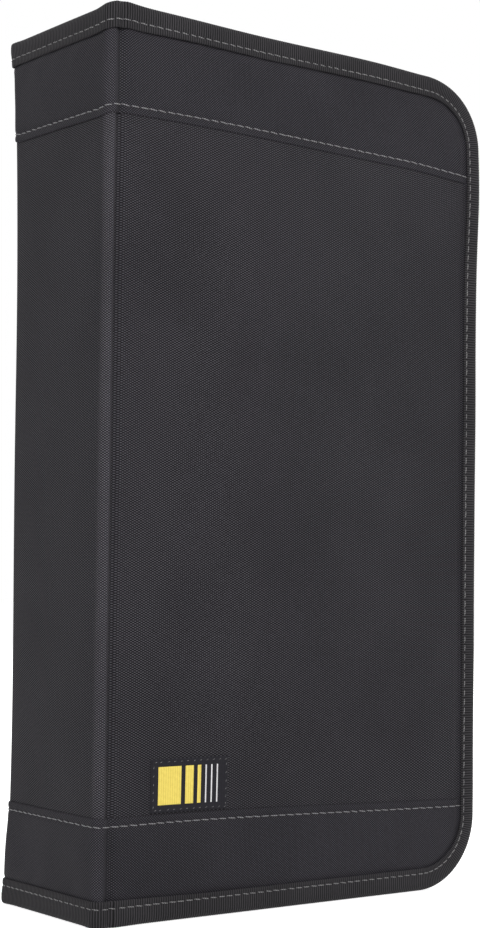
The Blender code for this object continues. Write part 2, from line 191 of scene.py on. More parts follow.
# y of the back half times 1 - waist / halfDepth * (1 - |2z / top - 1| ^ power) * (1 - smooth((x - crease) / fade)),
# and times 1 + lean / halfDepth, where the lean is a straight line in z, less so at the fold
def drawnIn(points):
    points = np.array(points, float)
    fade = 1 - smooth((points[..., 0] - creaseX) / shell["waistFade"])
    rise = 1 - np.clip(np.abs(2 * points[..., 2] / caseTop - 1), 0, 1) ** shell["waistPower"]
    pull = shell["waistInset"] / halfDepth * rise * fade
    fromArc = points[..., 0] - centreX
    pinched = smooth(1 + fromArc / (shell["pinchRise"] * shell["spineRadius"]))
    pinched = pinched * (1 - smooth((fromArc - shell["pinchHold"]) / shell["pinchReach"]))
    lean = shell["leanBase"] + (shell["leanTop"] - shell["leanBase"]) * points[..., 2] / caseTop
    lean = lean * (1 - shell["leanPinch"] * pinched)
    points[..., 1] *= np.where(points[..., 1] > 0, (1 - pull) * (1 + lean / halfDepth), 1)
    return points


# how far the cloth near the seams lies lower than the seams' straight lines: a bell round each seam
def seamDrift(w, z):
    out = coverWay(w)
    slant = shell["seamDrop"] * smooth((out - shell["dropFrom"]) / shell["dropRun"])
    droop = shell["seamDroop"] * smooth((out - shell["seamDroopFrom"]) / shell["seamDroopRun"])
    ease, run = shell["spineDropEase"], shell["spineDropRun"]
    onSpine = shell["spineDrop"] * smooth((w + ease) / run) * smooth((spineLength + ease - w) / run)
    upper = (slant + droop + onSpine) * bell(z - upperSeam, shell["dropReach"])
    return upper + slant * bell(z - lowerSeam, shell["dropReach"])


# how far the top edge stands up: a bell from the front fold outwards, less on the spine, with a narrow one at the
# spine's corner, less another at the rounded corner, fading downwards
def topRise(w, z):
    fade = smooth((z - caseTop + shell["bowFade"]) / shell["bowFade"])
    share = shell["bowOnSpine"] + (1 - shell["bowOnSpine"]) * smooth((shell["bowTurnEnd"] - w) / shell["bowTurn"])
    rise = shell["topBow"] * share * bell(w - shell["bowPlace"], shell["bowSpread"])
    rise = rise + shell["topPeak"] * bell(w - shell["peakPlace"], shell["peakSpread"])
    return (rise - shell["cornerDroop"] * bell(coverWay(w) - shell["droopPlace"], shell["cornerSpread"])) * fade


# how far the fore-edge stands out below its upper corner
def foreBulge(w, z):
    across = smooth((coverWay(w) - shell["bulgeFrom"]) / shell["bulgeReach"])
    return shell["cornerBulge"] * across * bell(z - shell["bulgeHeight"], shell["cornerSpread"])


# A point of the cloth. w runs round the case at one height: below 0 on the front cover, 0 to spineLength
# round the spine (quarter circle, straight, quarter circle), past that on the back cover.
def shellPoint(w, z, depth):
    w, z, depth = np.broadcast_arrays(np.asarray(w, float), np.asarray(z, float), np.asarray(depth, float))
    radius = shell["spineRadius"]
    turned = np.clip(w, 0, spineArc) + np.clip(w - spineArc - spineStraight, 0, spineArc)
    angle = 1.5 * math.pi - turned / radius             # the outward direction swings from -Y over -X to +Y
    x = centreX + coverWay(w) + (radius - depth) * np.cos(angle)
    y = radius - halfDepth + np.clip(w - spineArc, 0, spineStraight) + (radius - depth) * np.sin(angle)
    return drawnIn(laid(x + foreBulge(w, z), y, z - seamDrift(w, z) + topRise(w, z)))


# how far a place is out on a cover, counted from where the spine's corner ends
def coverWay(w):
    return np.where(w < 0, -w, np.maximum(w - spineLength, 0))


# A point along the free edge of a cover: straight along the top, a quarter circle, straight down, a quarter
# circle, straight back along the base. s is the length of the way, from where the cover begins. The rise of the top
# edge and the bulge of the fore-edge fade out over the gusset, so that the zip runs straight.
topRun = halfWidth - foreRadius - coverBegin
quarter = math.pi / 2 * foreRadius
foreRun = caseTop - 2 * foreRadius
rimLength = 2 * topRun + 2 * quarter + foreRun


def rimPoint(side, s, inset, depth):
    s, inset, depth = np.broadcast_arrays(np.asarray(s, float), np.asarray(inset, float), np.asarray(depth, float))
    turn = (np.clip(s - topRun, 0, quarter) + np.clip(s - topRun - quarter - foreRun, 0, quarter)) / foreRadius
    back = np.maximum(s - topRun - 2 * quarter - foreRun, 0)
    x = coverBegin + np.minimum(s, topRun) - back + (foreRadius - inset) * np.sin(turn)
    z = caseTop - foreRadius - np.clip(s - topRun - quarter, 0, foreRun) + (foreRadius - inset) * np.cos(turn)
    w = np.where(side < 0, centreX - x, spineLength + x - centreX)
    share = 1 - smooth((depth - shell["evenFrom"]) / shell["evenReach"])
    return drawnIn(laid(x + foreBulge(w, z) * share, side * (halfDepth - depth), z + topRise(w, z) * share))


# distance in from the outline: to the top or the base, and on a cover also to the fore-edge and its corners
def edgeInset(w, z):
    across = halfWidth - centreX - coverWay(w)
    upright = np.minimum(z, caseTop - z)
    corner = foreRadius - np.hypot(np.maximum(foreRadius - across, 0), np.maximum(foreRadius - upright, 0))
    return np.where((across < foreRadius) & (upright < foreRadius), corner, np.minimum(across, upright))


# Quads join each closed section to the next, and one polygon closes each end. rings is (steps, around, 3),
# or (count, steps, around, 3) for many alike; uv is the same with 2, in metres. The faces are turned round
# where the volume that they enclose comes out negative.
def loftMesh(name, rings, uv, slots=None, sharpAngle=40):
    if rings.ndim == 3:
        rings, uv = rings[None], uv[None]
    count, steps, around = rings.shape[:3]
    step, place = np.meshgrid(np.arange(steps - 1), np.arange(around), indexing="ij")
    after = (place + 1) % around
    ring = [step * around + place, (step + 1) * around + place, (step + 1) * around + after, step * around + after]
    first = np.arange(around)
    offsets = (np.arange(count) * steps * around)[:, None, None]
    quads = (np.stack(ring, axis=-1).reshape(1, -1, 4) + offsets).reshape(-1, 4)
    ends = (np.stack([first, (steps * around - 1) - first])[None] + offsets).reshape(-1, around)
    points = rings.reshape(-1, 3)
    volume = fanVolume(points[quads]) + fanVolume(points[ends])
    if volume < 0:
        quads, ends = quads[:, ::-1], ends[:, ::-1]
    mesh = bpy.data.meshes.new(name)
    mesh.from_pydata(points.tolist(), [], quads.tolist() + ends.tolist())
    corners = np.empty(len(mesh.loops), np.int32)
    mesh.loops.foreach_get("vertex_index", corners)
    layer = mesh.uv_layers.new(name="UVMap")
    layer.data.foreach_set("uv", uv.reshape(-1, 2)[corners].astype(np.float32).ravel())
    if slots is not None:
        perQuad = np.tile(np.asarray(slots, np.int32), count * (steps - 1))
        mesh.polygons.foreach_set("material_index", np.append(perQuad, np.zeros(len(ends), np.int32)))
    mesh.shade_smooth()
    mesh.set_sharp_from_angle(angle=math.radians(sharpAngle))
    return mesh


# sum of a . (b x c) over a fan of triangles in each polygon, which is six times the volume
def fanVolume(corners):
    return float((np.cross(corners[:, 1:-1], corners[:, 2:]) * corners[:, :1]).sum())


# Helpers for materials

# a colour written as on screen, 0 to 255, turned into the linear one that shaders take
def paint(red, green, blue):
    share = np.array([red, green, blue]) / 255
    linear = np.where(share <= 0.04045, share / 12.92, ((share + 0.055) / 1.055) ** 2.4)
    return (*linear.tolist(), 1.0)


# a node of that kind: an input that is another node's output is wired, any other is set
def addNode(tree, kind, settings, inputs):
    made = tree.nodes.new("ShaderNode" + kind)
    for key, value in settings.items():
        setattr(made, key, value)
    for key, value in inputs.items():
        if isinstance(value, bpy.types.NodeSocket):
            tree.links.new(value, made.inputs[key])
        else:
            made.inputs[key].default_value = value
    return made.outputs


def math1(tree, operation, *values):
    return addNode(tree, "Math", {"operation": operation}, dict(enumerate(values)))[0]


# sine of a length turned into an angle, so that one wave is as long as pitch
def waveOf(tree, length, pitch, shift=0.0):
    return math1(tree, "SINE", math1(tree, "MULTIPLY_ADD", length, 2 * math.pi / pitch, shift))


def ranged(tree, value, low, high, toLow, toHigh):
    inputs = {0: value, 1: low, 2: high, 3: toLow, 4: toHigh}
    return addNode(tree, "MapRange", {"interpolation_type": "SMOOTHSTEP"}, inputs)[0]


def mixed(tree, share, first, second, way="MIX"):
    inputs = {0: share, 6: first, 7: second}
    return addNode(tree, "Mix", {"data_type": "RGBA", "blend_type": way}, inputs)[2]


def noiseOf(tree, place, scale, detail=3.0, roughness=0.55):
    inputs = {"Vector": place, "Scale": scale, "Detail": detail, "Roughness": roughness}
    return addNode(tree, "TexNoise", {}, inputs)[0]


# a factor between two values by broad noise, most of which lies between 0.3 and 0.7
def wearOf(tree, place, scale, span):
    return ranged(tree, noiseOf(tree, place, scale, 4), 0.3, 0.7, *span)


def newMaterial(name, **sockets):
    material = bpy.data.materials.new(name)
    material.use_nodes = True
    shader = material.node_tree.nodes["Principled BSDF"]
    for key, value in sockets.items():
        shader.inputs[key.replace("_", " ").title().replace("Ior", "IOR")].default_value = value
    return material, material.node_tree, shader


def connect(tree, shader, colour, roughness, height, strength, distance):
    tree.links.new(colour, shader.inputs["Base Color"])
    tree.links.new(roughness, shader.inputs["Roughness"])
    bump = addNode(tree, "Bump", {}, {"Strength": strength, "Distance": distance, "Height": height})
    tree.links.new(bump[0], shader.inputs["Normal"])


# place on the object, and the parts of the place in its UV map: way along, way across
def placesOf(tree):
    places = addNode(tree, "TexCoord", {}, {})
    return places["Object"], addNode(tree, "SeparateXYZ", {}, {0: places["UV"]})


# a colour made lighter or darker by a factor
def shaded(tree, colour, factor):
    shade = addNode(tree, "CombineColor", {}, {0: factor, 1: factor, 2: factor})[0]
    return mixed(tree, 1.0, colour, shade, "MULTIPLY")


# from dark to light with a wave of threads that has the fuzz of noise on it, and the wave as relief
def threadLook(tree, shader, place, wave, values):
    fuzz = noiseOf(tree, place, values["fuzzScale"])
    share = ranged(tree, math1(tree, "MULTIPLY_ADD", fuzz, values["fuzz"], wave), *values["span"], 0, 1)
    connect(tree, shader, mixed(tree, share, paint(*values["dark"]), paint(*values["light"])),
            ranged(tree, fuzz, 0, 1, *values["rough"]), wave, values["relief"], values["threadHeight"])


weaveForm = {
    "wanderScale": 90,         # noise that lets the threads run a little crooked
    "slubScale": 1500,         # noise that makes single threads thicker
    "contrast": (0.05, 1.15),
    "wearScale": 22,
    "wear": (0.90, 1.10),
    "highlightArc": (0.8, 1.15),  # where the painted highlight fades on the spine, as shares of the corner's arc
    "highlightEnd": (0.0002, 0.0005),          # and before and past its end towards a cover
    "roughFall": 0.16,
    "roundness": 0.6,
}


# Woven nylon: sine across times sine along is the over-and-under checker of a plain weave. Where it is high
# a lengthwise thread lies on top and catches the light, and its size without sign is the height of the threads.
# The cloth is painted lighter over the spine's two rounded corners, a painted highlight where they face the light.
def wovenCloth(name, values):
    material, tree, shader = newMaterial(name, sheen_weight=values["sheen"], sheen_roughness=0.45,
                                         specular_ior_level=values["shine"])
    place, parts = placesOf(tree)
    wander = noiseOf(tree, place, weaveForm["wanderScale"])
    across, upright = (waveOf(tree, math1(tree, "MULTIPLY_ADD", wander, values["wander"], parts[way]), pitch)
                       for way, pitch in enumerate(values["pitch"]))
    checker = math1(tree, "MULTIPLY", across, upright)
    slub = noiseOf(tree, place, weaveForm["slubScale"], 2)
    onTop = ranged(tree, math1(tree, "MULTIPLY_ADD", slub, values["slub"], checker), *weaveForm["contrast"], 0, 1)
    colour = mixed(tree, onTop, paint(*values["ground"]), paint(*values["thread"]))
    worn = wearOf(tree, place, weaveForm["wearScale"], weaveForm["wear"])
    # painted highlight: the colour is made lighter over the spine's two rounded corners, fading past their ends
    middle = spineLength / 2
    corner = [spineArc * share for share in weaveForm["highlightArc"]]
    cornerHighlight = ranged(tree, math1(tree, "PINGPONG", parts[0], middle), *corner, values["cornerHighlight"], 1.0)
    fromMiddle = math1(tree, "ABSOLUTE", math1(tree, "SUBTRACT", parts[0], middle))
    inside, outside = weaveForm["highlightEnd"]
    cornerHighlight = ranged(tree, fromMiddle, middle - inside, middle + outside, cornerHighlight, 1.0)
    colour = shaded(tree, colour, math1(tree, "MULTIPLY", worn, cornerHighlight))
    roughness = ranged(tree, checker, -1, 1, values["rough"], values["rough"] - weaveForm["roughFall"])
    height = math1(tree, "POWER", math1(tree, "ABSOLUTE", checker), weaveForm["roundness"])
    connect(tree, shader, colour, roughness, height, values["relief"], values["threadHeight"])
    return material


# cornerHighlight: how much lighter the painted highlight makes each cloth on the spine's corners
mainCloth = wovenCloth("mainNylon", {
    "pitch": (0.00164, 0.00083), "ground": (23, 21, 24), "thread": (82, 81, 86), "sheen": 0.02, "shine": 0.06,
    "cornerHighlight": 1.5, "wander": 0.00022, "slub": 0.5, "rough": 0.74, "relief": 0.6, "threadHeight": 0.00012})
bandCloth = wovenCloth("bandNylon", {
    "pitch": (0.00105, 0.00084), "ground": (22, 21, 24), "thread": (81, 79, 85), "sheen": 0.02, "shine": 0.06,
    "cornerHighlight": 1.22, "wander": 0.00018, "slub": 0.4, "rough": 0.72, "relief": 0.45, "threadHeight": 0.0001})
gussetCloth = wovenCloth("gussetNylon", {
    "pitch": (0.00130, 0.00080), "ground": (24, 23, 26), "thread": (66, 65, 70), "sheen": 0.02, "shine": 0.12,
    "cornerHighlight": 1.0, "wander": 0.0002, "slub": 0.5, "rough": 0.74, "relief": 0.5, "threadHeight": 0.0001})
liningCloth = wovenCloth("lining", {
    "pitch": (0.0007, 0.0007), "ground": (34, 34, 36), "thread": (60, 60, 63), "sheen": 0.05, "shine": 0.2,
    "cornerHighlight": 1.0, "wander": 0.00015, "slub": 0.4, "rough": 0.66, "relief": 0.4, "threadHeight": 0.00008})


# Ribbed tape: the colour follows the ribs of the mesh (cosine of the way along), darker in the valleys as painted
# shade and lighter on the ridges as painted sheen, and fine threads lie across them
def ribbedTape(name, values):
    material, tree, shader = newMaterial(name, sheen_weight=0.02, sheen_roughness=0.5, specular_ior_level=0.12)
    place, parts = placesOf(tree)
    rib = waveOf(tree, parts[0], values["pitch"], math.pi / 2)
    wander = noiseOf(tree, place, values["wanderScale"])
    fibre = waveOf(tree, math1(tree, "MULTIPLY_ADD", wander, values["wander"], parts[1]), values["fibrePitch"])
    fuzz = noiseOf(tree, place, values["fuzzScale"], 2)
    onTop = ranged(tree, math1(tree, "MULTIPLY_ADD", fuzz, values["fuzz"], rib), *values["contrast"], 0, 1)
    # painted shade in the valleys between the ribs, painted sheen on the ridges
    colour = mixed(tree, onTop, paint(*values["valleyShade"]), paint(*values["ridgeSheen"]))
    colour = shaded(tree, colour, wearOf(tree, place, values["wearScale"], values["wear"]))
    height = math1(tree, "MULTIPLY_ADD", fibre, values["fibre"], rib)
    connect(tree, shader, colour, ranged(tree, rib, -1, 1, *values["rough"]), height, values["relief"],
            values["threadHeight"])
    return material


threadForm = {
    "plySlant": 0.7,
    "fuzzScale": 900,
    "fuzz": 0.8,
    "span": (-0.8, 1.3),
    "rough": (0.55, 0.85),
    "relief": 0.5,
    "threadHeight": 0.00008,
}


# Sewing thread: two plies twisted, a sine of the way along plus a share of the way around
def twistedThread(name, dark, light, pitch):
    material, tree, shader = newMaterial(name, sheen_weight=0.05, specular_ior_level=0.3)
    place, parts = placesOf(tree)
    twist = waveOf(tree, math1(tree, "MULTIPLY_ADD", parts[1], threadForm["plySlant"], parts[0]), pitch)
    threadLook(tree, shader, place, twist, {**threadForm, "dark": dark, "light": light})
    return material


seamThread = twistedThread("greyThread", (84, 83, 85), (152, 151, 153), 0.0009)
edgeThread = twistedThread("edgeThread", (70, 69, 70), (136, 135, 136), 0.0009)
darkThread = twistedThread("blackThread", (30, 30, 32), (70, 70, 73), 0.0008)


# Zip tape: herringbone, made of a slanted wave whose slant turns with each column
def herringbone(name, values):
    material, tree, shader = newMaterial(name, sheen_weight=0.1, specular_ior_level=0.3)
    place, parts = placesOf(tree)
    zigzag = math1(tree, "PINGPONG", parts[1], values["column"])
    threadLook(tree, shader, place, waveOf(tree, math1(tree, "ADD", parts[0], zigzag), values["pitch"]), values)
    return material


zipTapeCloth = herringbone("zipTape", {
    "column": 0.0016, "pitch": 0.0009, "dark": (24, 24, 25), "light": (52, 52, 54), "fuzzScale": 1100, "fuzz": 0.7,
    "span": (-0.7, 1.4), "rough": (0.65, 0.85), "relief": 0.5, "threadHeight": 0.0001})


skinForm = {
    "broadness": 14,           # how much larger the broad noise is than the grain
    "wornFrom": 0.62,
    "smoother": 0.08,
    "rougher": 0.1,
    "grainHeight": 0.00006,
}


# Moulded or lacquered skin: fine grain from noise, broad variation of colour, a little wear where noise is high
def skin(name, colour, worn, grainScale, rough, grain, **sockets):
    material, tree, shader = newMaterial(name, **sockets)
    places = addNode(tree, "TexCoord", {}, {})
    fine = noiseOf(tree, places["Object"], grainScale, 2)
    broad = noiseOf(tree, places["Object"], grainScale / skinForm["broadness"], 4)
    share = ranged(tree, math1(tree, "MULTIPLY_ADD", fine, 0.5, broad), skinForm["wornFrom"], 1.0, 0, 1)
    roughness = ranged(tree, broad, 0.25, 0.75, rough - skinForm["smoother"], rough + skinForm["rougher"])
    connect(tree, shader, mixed(tree, share, paint(*colour), paint(*worn)), roughness, fine, grain,
            skinForm["grainHeight"])
    return material


coilPlastic = skin("coilPlastic", (30, 30, 32), (50, 50, 53), 1600, 0.38, 0.25, specular_ior_level=0.5)
lacquer = skin("lacquer", (46, 46, 48), (74, 74, 77), 1200, 0.34, 0.2, metallic=0.85)


filmForm = {
    "fibreScale": 420,
    "dark": (104, 104, 108),
    "light": (150, 150, 153),
    "contrast": (0.3, 0.75),
    "rough": (0.42, 0.6),
    "relief": 0.35,
    "fibreHeight": 0.0001,
    "embossPitch": 0.0024,
    "embossShare": 0.15,
    "embossHeight": 0.6,
    "ringColour": (168, 168, 171),
    "weldColour": (72, 72, 76),
    "weldDepth": 1.5,
    "spineWeld": 0.012,        # weld lines: in from the spine's edge of the leaf,
    "edgeWeld": 0.004,         # from the other three,
    "middleWeld": 0.0035,      # and above and below the middle
    "weldHalf": 0.0005,
    "discRadius": 0.06,
    "discShift": 0.004,        # how far a pocket's middle lies towards the fore-edge
    "ringHalf": 0.0011,
    "ringShare": 0.3,
    "weldShare": 0.75,
}


# Disc leaves: soft unwoven cloth (noise fibres) under a clear film, with straight weld lines round the two pockets
# and the faint ring that a disc leaves in each
def leafFilm(name, values):
    material, tree, shader = newMaterial(name, coat_weight=0.5, coat_roughness=0.12, specular_ior_level=0.4)
    places = addNode(tree, "TexCoord", {}, {})
    fibres = noiseOf(tree, places["Object"], values["fibreScale"], 6, 0.7)
    parts = addNode(tree, "SeparateXYZ", {}, {0: places["Object"]})
    emboss = math1(tree, "MULTIPLY", *(waveOf(tree, parts[way], values["embossPitch"]) for way in (0, 2)))
    mottled = math1(tree, "MULTIPLY_ADD", emboss, values["embossShare"], fibres)
    share = ranged(tree, mottled, *values["contrast"], 0, 1)
    colour = mixed(tree, share, paint(*values["dark"]), paint(*values["light"]))
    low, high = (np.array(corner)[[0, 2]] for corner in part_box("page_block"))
    middle = (low + high) / 2
    flat = addNode(tree, "SeparateXYZ", {}, {0: places["UV"]})
    weld = 0.0
    edge, beside = values["edgeWeld"], values["middleWeld"]
    for axis, place in ((0, low[0] + values["spineWeld"]), (0, high[0] - edge), (1, low[1] + edge),
                        (1, middle[1] - beside), (1, middle[1] + beside), (1, high[1] - edge)):
        line = math1(tree, "COMPARE", flat[axis], float(place), values["weldHalf"])
        weld = math1(tree, "MAXIMUM", weld, line)
    imprint = 0.0
    for end in (low, high):
        centre = (float(middle[0]) + values["discShift"], float(middle[1] + end[1]) / 2, 0.0)
        away = addNode(tree, "VectorMath", {"operation": "DISTANCE"}, {0: places["UV"], 1: centre})["Value"]
        fromRing = math1(tree, "ABSOLUTE", math1(tree, "SUBTRACT", away, values["discRadius"]))
        imprint = math1(tree, "MAXIMUM", imprint, ranged(tree, fromRing, 0.0, values["ringHalf"], 1.0, 0.0))
    for mask, kind in ((imprint, "ring"), (weld, "weld")):
        share = math1(tree, "MULTIPLY", mask, values[kind + "Share"])
        colour = mixed(tree, share, colour, paint(*values[kind + "Colour"]))
    height = math1(tree, "MULTIPLY_ADD", emboss, values["embossHeight"], fibres)
    height = math1(tree, "SUBTRACT", height, math1(tree, "MULTIPLY", weld, values["weldDepth"]))
    connect(tree, shader, colour, ranged(tree, fibres, 0.3, 0.7, *values["rough"]), height, values["relief"],
            values["fibreHeight"])
    return material


pocketFilm = leafFilm("leafFilm", filmForm)

print("materials ready")


# Cloth panels

clothForm = {
    "crown": 0.00045,          # padding stands up in the middle of a cover
    "spineCrown": 0.0006,
    "edgeDip": 0.00045,        # cloth pressed down along the binding
    "edgeInset": 0.0079,
    "edgeSpread": 0.0020,
    "seamStep": 0.0007,        # drop under the bands
    "seamOverlap": 0.0001,
    "seamStepRun": 0.0005,
    "pucker": 0.00009,         # small gathers along the binding, fading further in
    "puckerLength": 0.0125,
    "puckerFrom": 0.008,
    "puckerReach": 0.006,
    "uneven": 0.00016,
    "unevenLength": 0.075,
    "liningFrom": 0.0005,      # from here past a fold the lining sinks to the back of the board
    "liningRun": 0.004,
    "rowSpacing": 0.004,
    "rowsFrom": 0.004,         # the even rows begin so far over the lower seam and end so far under the upper
    "rowsTo": 0.0035,
    "columnSpacing": 0.003,
    "foldColumns": (14, 0.00022),           # finer columns at the folds: how many on each side, and how far apart
    "edgeColumns": (9, 0.0006),             # and under the binding, round this distance from the cut edge
    "edgeMiddle": 0.005,
    "cornerColumns": 15,
    "leastColumn": 0.00008,
    "endClearance": 0.0001,
}

zones = {
    "front": (-farEdge, -foldReach),
    "frontFold": (-foldReach, 0.0),
    "spine": (0.0, spineLength),
    "backFold": (spineLength, spineLength + foldReach),
    "back": (spineLength + foldReach, spineLength + farEdge),
}
foldLines = (-foldOffset - shell["foldShift"], spineLength + foldOffset + shell["foldShift"])
riders = {
    "front": "front_cover",
    "spine": "spine",
    "back": "back_cover",
    "frontFold": ("spine", "front_cover", (centreX, -halfDepth, 0), (coverBegin, -halfDepth, 0)),
    "backFold": ("spine", "back_cover", (centreX, halfDepth, 0), (coverBegin, halfDepth, 0)),
}


# groove at the two fold lines: a bell curve on each, in metres
def foldGroove(w, share=1.0):
    bells = bell(w - foldLines[0], shell["foldSpread"]) + bell(w - foldLines[1], shell["foldSpread"])
    return shell["foldDip"] * share * bells


# unevenness and gathers that all layers share: ripples, and a sine along the edge that fades with distance from it
def clothUnevenness(w, z):
    gather = np.sin((w + z) * 2 * math.pi / clothForm["puckerLength"]) * clothForm["pucker"]
    inward = np.maximum(edgeInset(w, z) - clothForm["puckerFrom"], 0)
    gather = gather * np.exp(-inward / clothForm["puckerReach"])
    return gather + clothForm["uneven"] * ripples(w, z, 4, clothForm["unevenLength"])


# depth of the main cloth: crowned by (1 - x^4)(1 - z^6) between the edges, dipped along the binding,
# dropped under the bands and grooved at the folds
def fieldSurface(w, z):
    outOn = coverWay(w) - foldReach
    sideways = np.clip(2 * outOn / (halfWidth - coverBegin) - 1, -1, 1)
    onSpine = np.clip(2 * (w - spineArc) / spineStraight - 1, -1, 1)
    upright = (2 * z - upperSeam - lowerSeam) / (upperSeam - lowerSeam)
    crown = clothForm["crown"] * (1 - sideways ** 4) + clothForm["spineCrown"] * (1 - onSpine ** 4)
    crown = crown * (1 - np.clip(upright, -1, 1) ** 6)
    dip = clothForm["edgeDip"] * bell(edgeInset(w, z) - clothForm["edgeInset"], clothForm["edgeSpread"])
    overlap, run = clothForm["seamOverlap"], clothForm["seamStepRun"]
    past = smooth((lowerSeam + overlap - z) / run) + smooth((z - upperSeam + overlap) / run)
    return fieldDepth - crown + dip + past * clothForm["seamStep"] + foldGroove(w) + clothUnevenness(w, z)


# depth of the lining: shallow at the folds and corners, at the back of the board elsewhere
def liningSurface(w):
    onSpine = np.minimum(w, spineLength - w) - spineArc
    fromFold = np.where((w > 0) & (w < spineLength), onSpine, coverWay(w) - foldReach)
    sunk = smooth((fromFold - clothForm["liningFrom"]) / clothForm["liningRun"])
    return shell["foldBack"] + (boardBack - shell["foldBack"]) * sunk


# even steps across a zone, with finer ones at the fold lines, the spine's corners and under the binding
def columnsOf(zone, spacing):
    low, high = zones[zone]
    fine = [np.linspace(low, high, 2 + int((high - low) / spacing))]
    middle = clothForm["edgeMiddle"]
    edges = (middle - farEdge, spineLength + farEdge - middle)
    for lines, (count, step) in ((foldLines, clothForm["foldColumns"]), (edges, clothForm["edgeColumns"])):
        fine += [line + np.arange(-count, count + 1) * step for line in lines]
    for corner in ((0, spineArc), (spineLength - spineArc, spineLength)):
        fine.append(np.linspace(*corner, clothForm["cornerColumns"]))
    places = np.sort(np.concatenate(fine))
    clearance = clothForm["endClearance"]
    places = places[(places > low + clearance) & (places < high - clearance)]
    places = places[np.append(True, np.diff(places) > clothForm["leastColumn"])]
    return np.concatenate([[low], places, [high]])


# height at which the cloth ends under the binding, lower in the rounded corners
def clothTop(w):
    past = np.maximum(coverWay(w) - (halfWidth - foreRadius - centreX), 0)
    radius = foreRadius - shell["tuck"]
    return caseTop - foreRadius + np.sqrt(np.maximum(radius ** 2 - past ** 2, 0))


# closed sections of a sheet with a face and a back, from arrays (columns, rows) of heights and depths
def sheetRings(w, faceZ, faceDepth, backZ, backDepth):
    z = np.concatenate([faceZ, backZ[:, ::-1]], axis=1)
    depth = np.concatenate([faceDepth, backDepth[:, ::-1]], axis=1)
    across = np.broadcast_to(w[:, None], z.shape)
    slots = np.append(np.zeros(faceZ.shape[1] - 1, int), np.ones(backZ.shape[1] + 1, int))
    return shellPoint(across, z, depth), laid(across, z), slots


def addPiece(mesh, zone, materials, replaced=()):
    piece = bpy.data.objects.new(mesh.name, mesh)
    bpy.context.scene.collection.objects.link(piece)
    for material in materials:
        mesh.materials.append(material)
    rider = riders.get(zone, zone)
    if isinstance(rider, str):
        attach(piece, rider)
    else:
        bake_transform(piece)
    if replaced:
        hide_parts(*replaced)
    return piece


# rows next to a seam, as distances from it
fineRows = np.array([-0.0012, -0.0006, -0.0003, 0, 0.0002, 0.0004, 0.0007, 0.0012, 0.0022])
middleRows = np.arange(lowerSeam + clothForm["rowsFrom"], upperSeam - clothForm["rowsTo"], clothForm["rowSpacing"])
fieldRows = np.concatenate([lowerSeam + fineRows, middleRows, (upperSeam - fineRows)[::-1]])
panelNodes = {"front": "front_cover_panel", "spine": "spine_panel", "back": "back_cover_panel"}
for zone in zones:
    w = columnsOf(zone, clothForm["columnSpacing"])
    high = clothTop(w)[:, None]
    low = caseTop - high
    faceZ = np.hstack([low, (low + lowerSeam) / 2, np.tile(fieldRows, (len(w), 1)), (high + upperSeam) / 2, high])
    backZ = np.hstack([low, low + (high - low) / 3, low + (high - low) * 2 / 3, high])
    backDepth = np.broadcast_to(liningSurface(w)[:, None], backZ.shape)
    rings, uv, slots = sheetRings(w, faceZ, fieldSurface(w[:, None], faceZ), backZ, backDepth)
    mesh = loftMesh(zone + "Panel", rings, uv, slots)
    covered = [panelNodes[zone]] if zone in panelNodes else []
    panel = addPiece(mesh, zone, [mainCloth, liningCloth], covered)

print("panels made")


# Folded bands across the two ends

bandForm = {
    "thickness": 0.0008,
    "stitchLine": 0.0027,      # from the folded edge
    "puff": 0.00006,           # cloth stands up between the edge and the stitches
    "puffLine": 0.0013,
    "puffSpread": 0.0009,
    "groove": 0.00030,
    "grooveSpread": 0.0008,
    "dimple": 0.00012,         # where the thread goes through
    "stitchPitch": 0.0036,
    "underBinding": 0.0006,    # how far the cloth is pressed in there, from this inset outwards
    "pressFrom": 0.0102,
    "pressRun": 0.0024,
    "looseOnSpine": 0.00036,   # slack of the cloth between the seam and the binding
    "loose": 0.00022,
    "looseLength": 0.034,
    "looseFrom": 0.004,        # where the slack begins and ends, as distances from the folded edge
    "looseRise": 0.008,
    "looseEnd": 0.031,
    "looseFall": 0.01,
    "foldShare": 0.9,          # of the groove at the folds, and less of it under the stitches
    "foldHeld": 0.6,
    "foldHeldSpread": 0.0012,
    "backStart": 0.0006,       # where the hidden side begins, and how far under the face it lies
    "backGap": 0.00035,
    "columnSpacing": 0.00052,
}


# depth of a band at a distance from its folded edge: a puff, a stitched groove with dimples, then flat,
# and pressed under the binding
def bandSurface(w, z, fromEdge):
    fromLine = fromEdge - bandForm["stitchLine"]
    puff = bandForm["puff"] * bell(fromEdge - bandForm["puffLine"], bandForm["puffSpread"])
    line = bell(fromLine, bandForm["grooveSpread"])
    beat = (0.5 - 0.5 * np.cos(2 * math.pi * w / bandForm["stitchPitch"])) ** 4
    press = bandForm["underBinding"] * smooth((bandForm["pressFrom"] - edgeInset(w, z)) / bandForm["pressRun"])
    loose = np.where((w > 0) & (w < spineLength), bandForm["looseOnSpine"], bandForm["loose"])
    far = loose * ripples(w, z, 9, bandForm["looseLength"])
    far = far * smooth((fromEdge - bandForm["looseFrom"]) / bandForm["looseRise"])
    far = far * smooth((bandForm["looseEnd"] - fromEdge) / bandForm["looseFall"])
    lines = (bandForm["groove"] + bandForm["dimple"] * beat) * line
    held = 1 - bandForm["foldHeld"] * bell(fromLine, bandForm["foldHeldSpread"])
    fold = foldGroove(w, bandForm["foldShare"]) * held
    return bandDepth - puff + lines + press + far + fold + clothUnevenness(w, z)


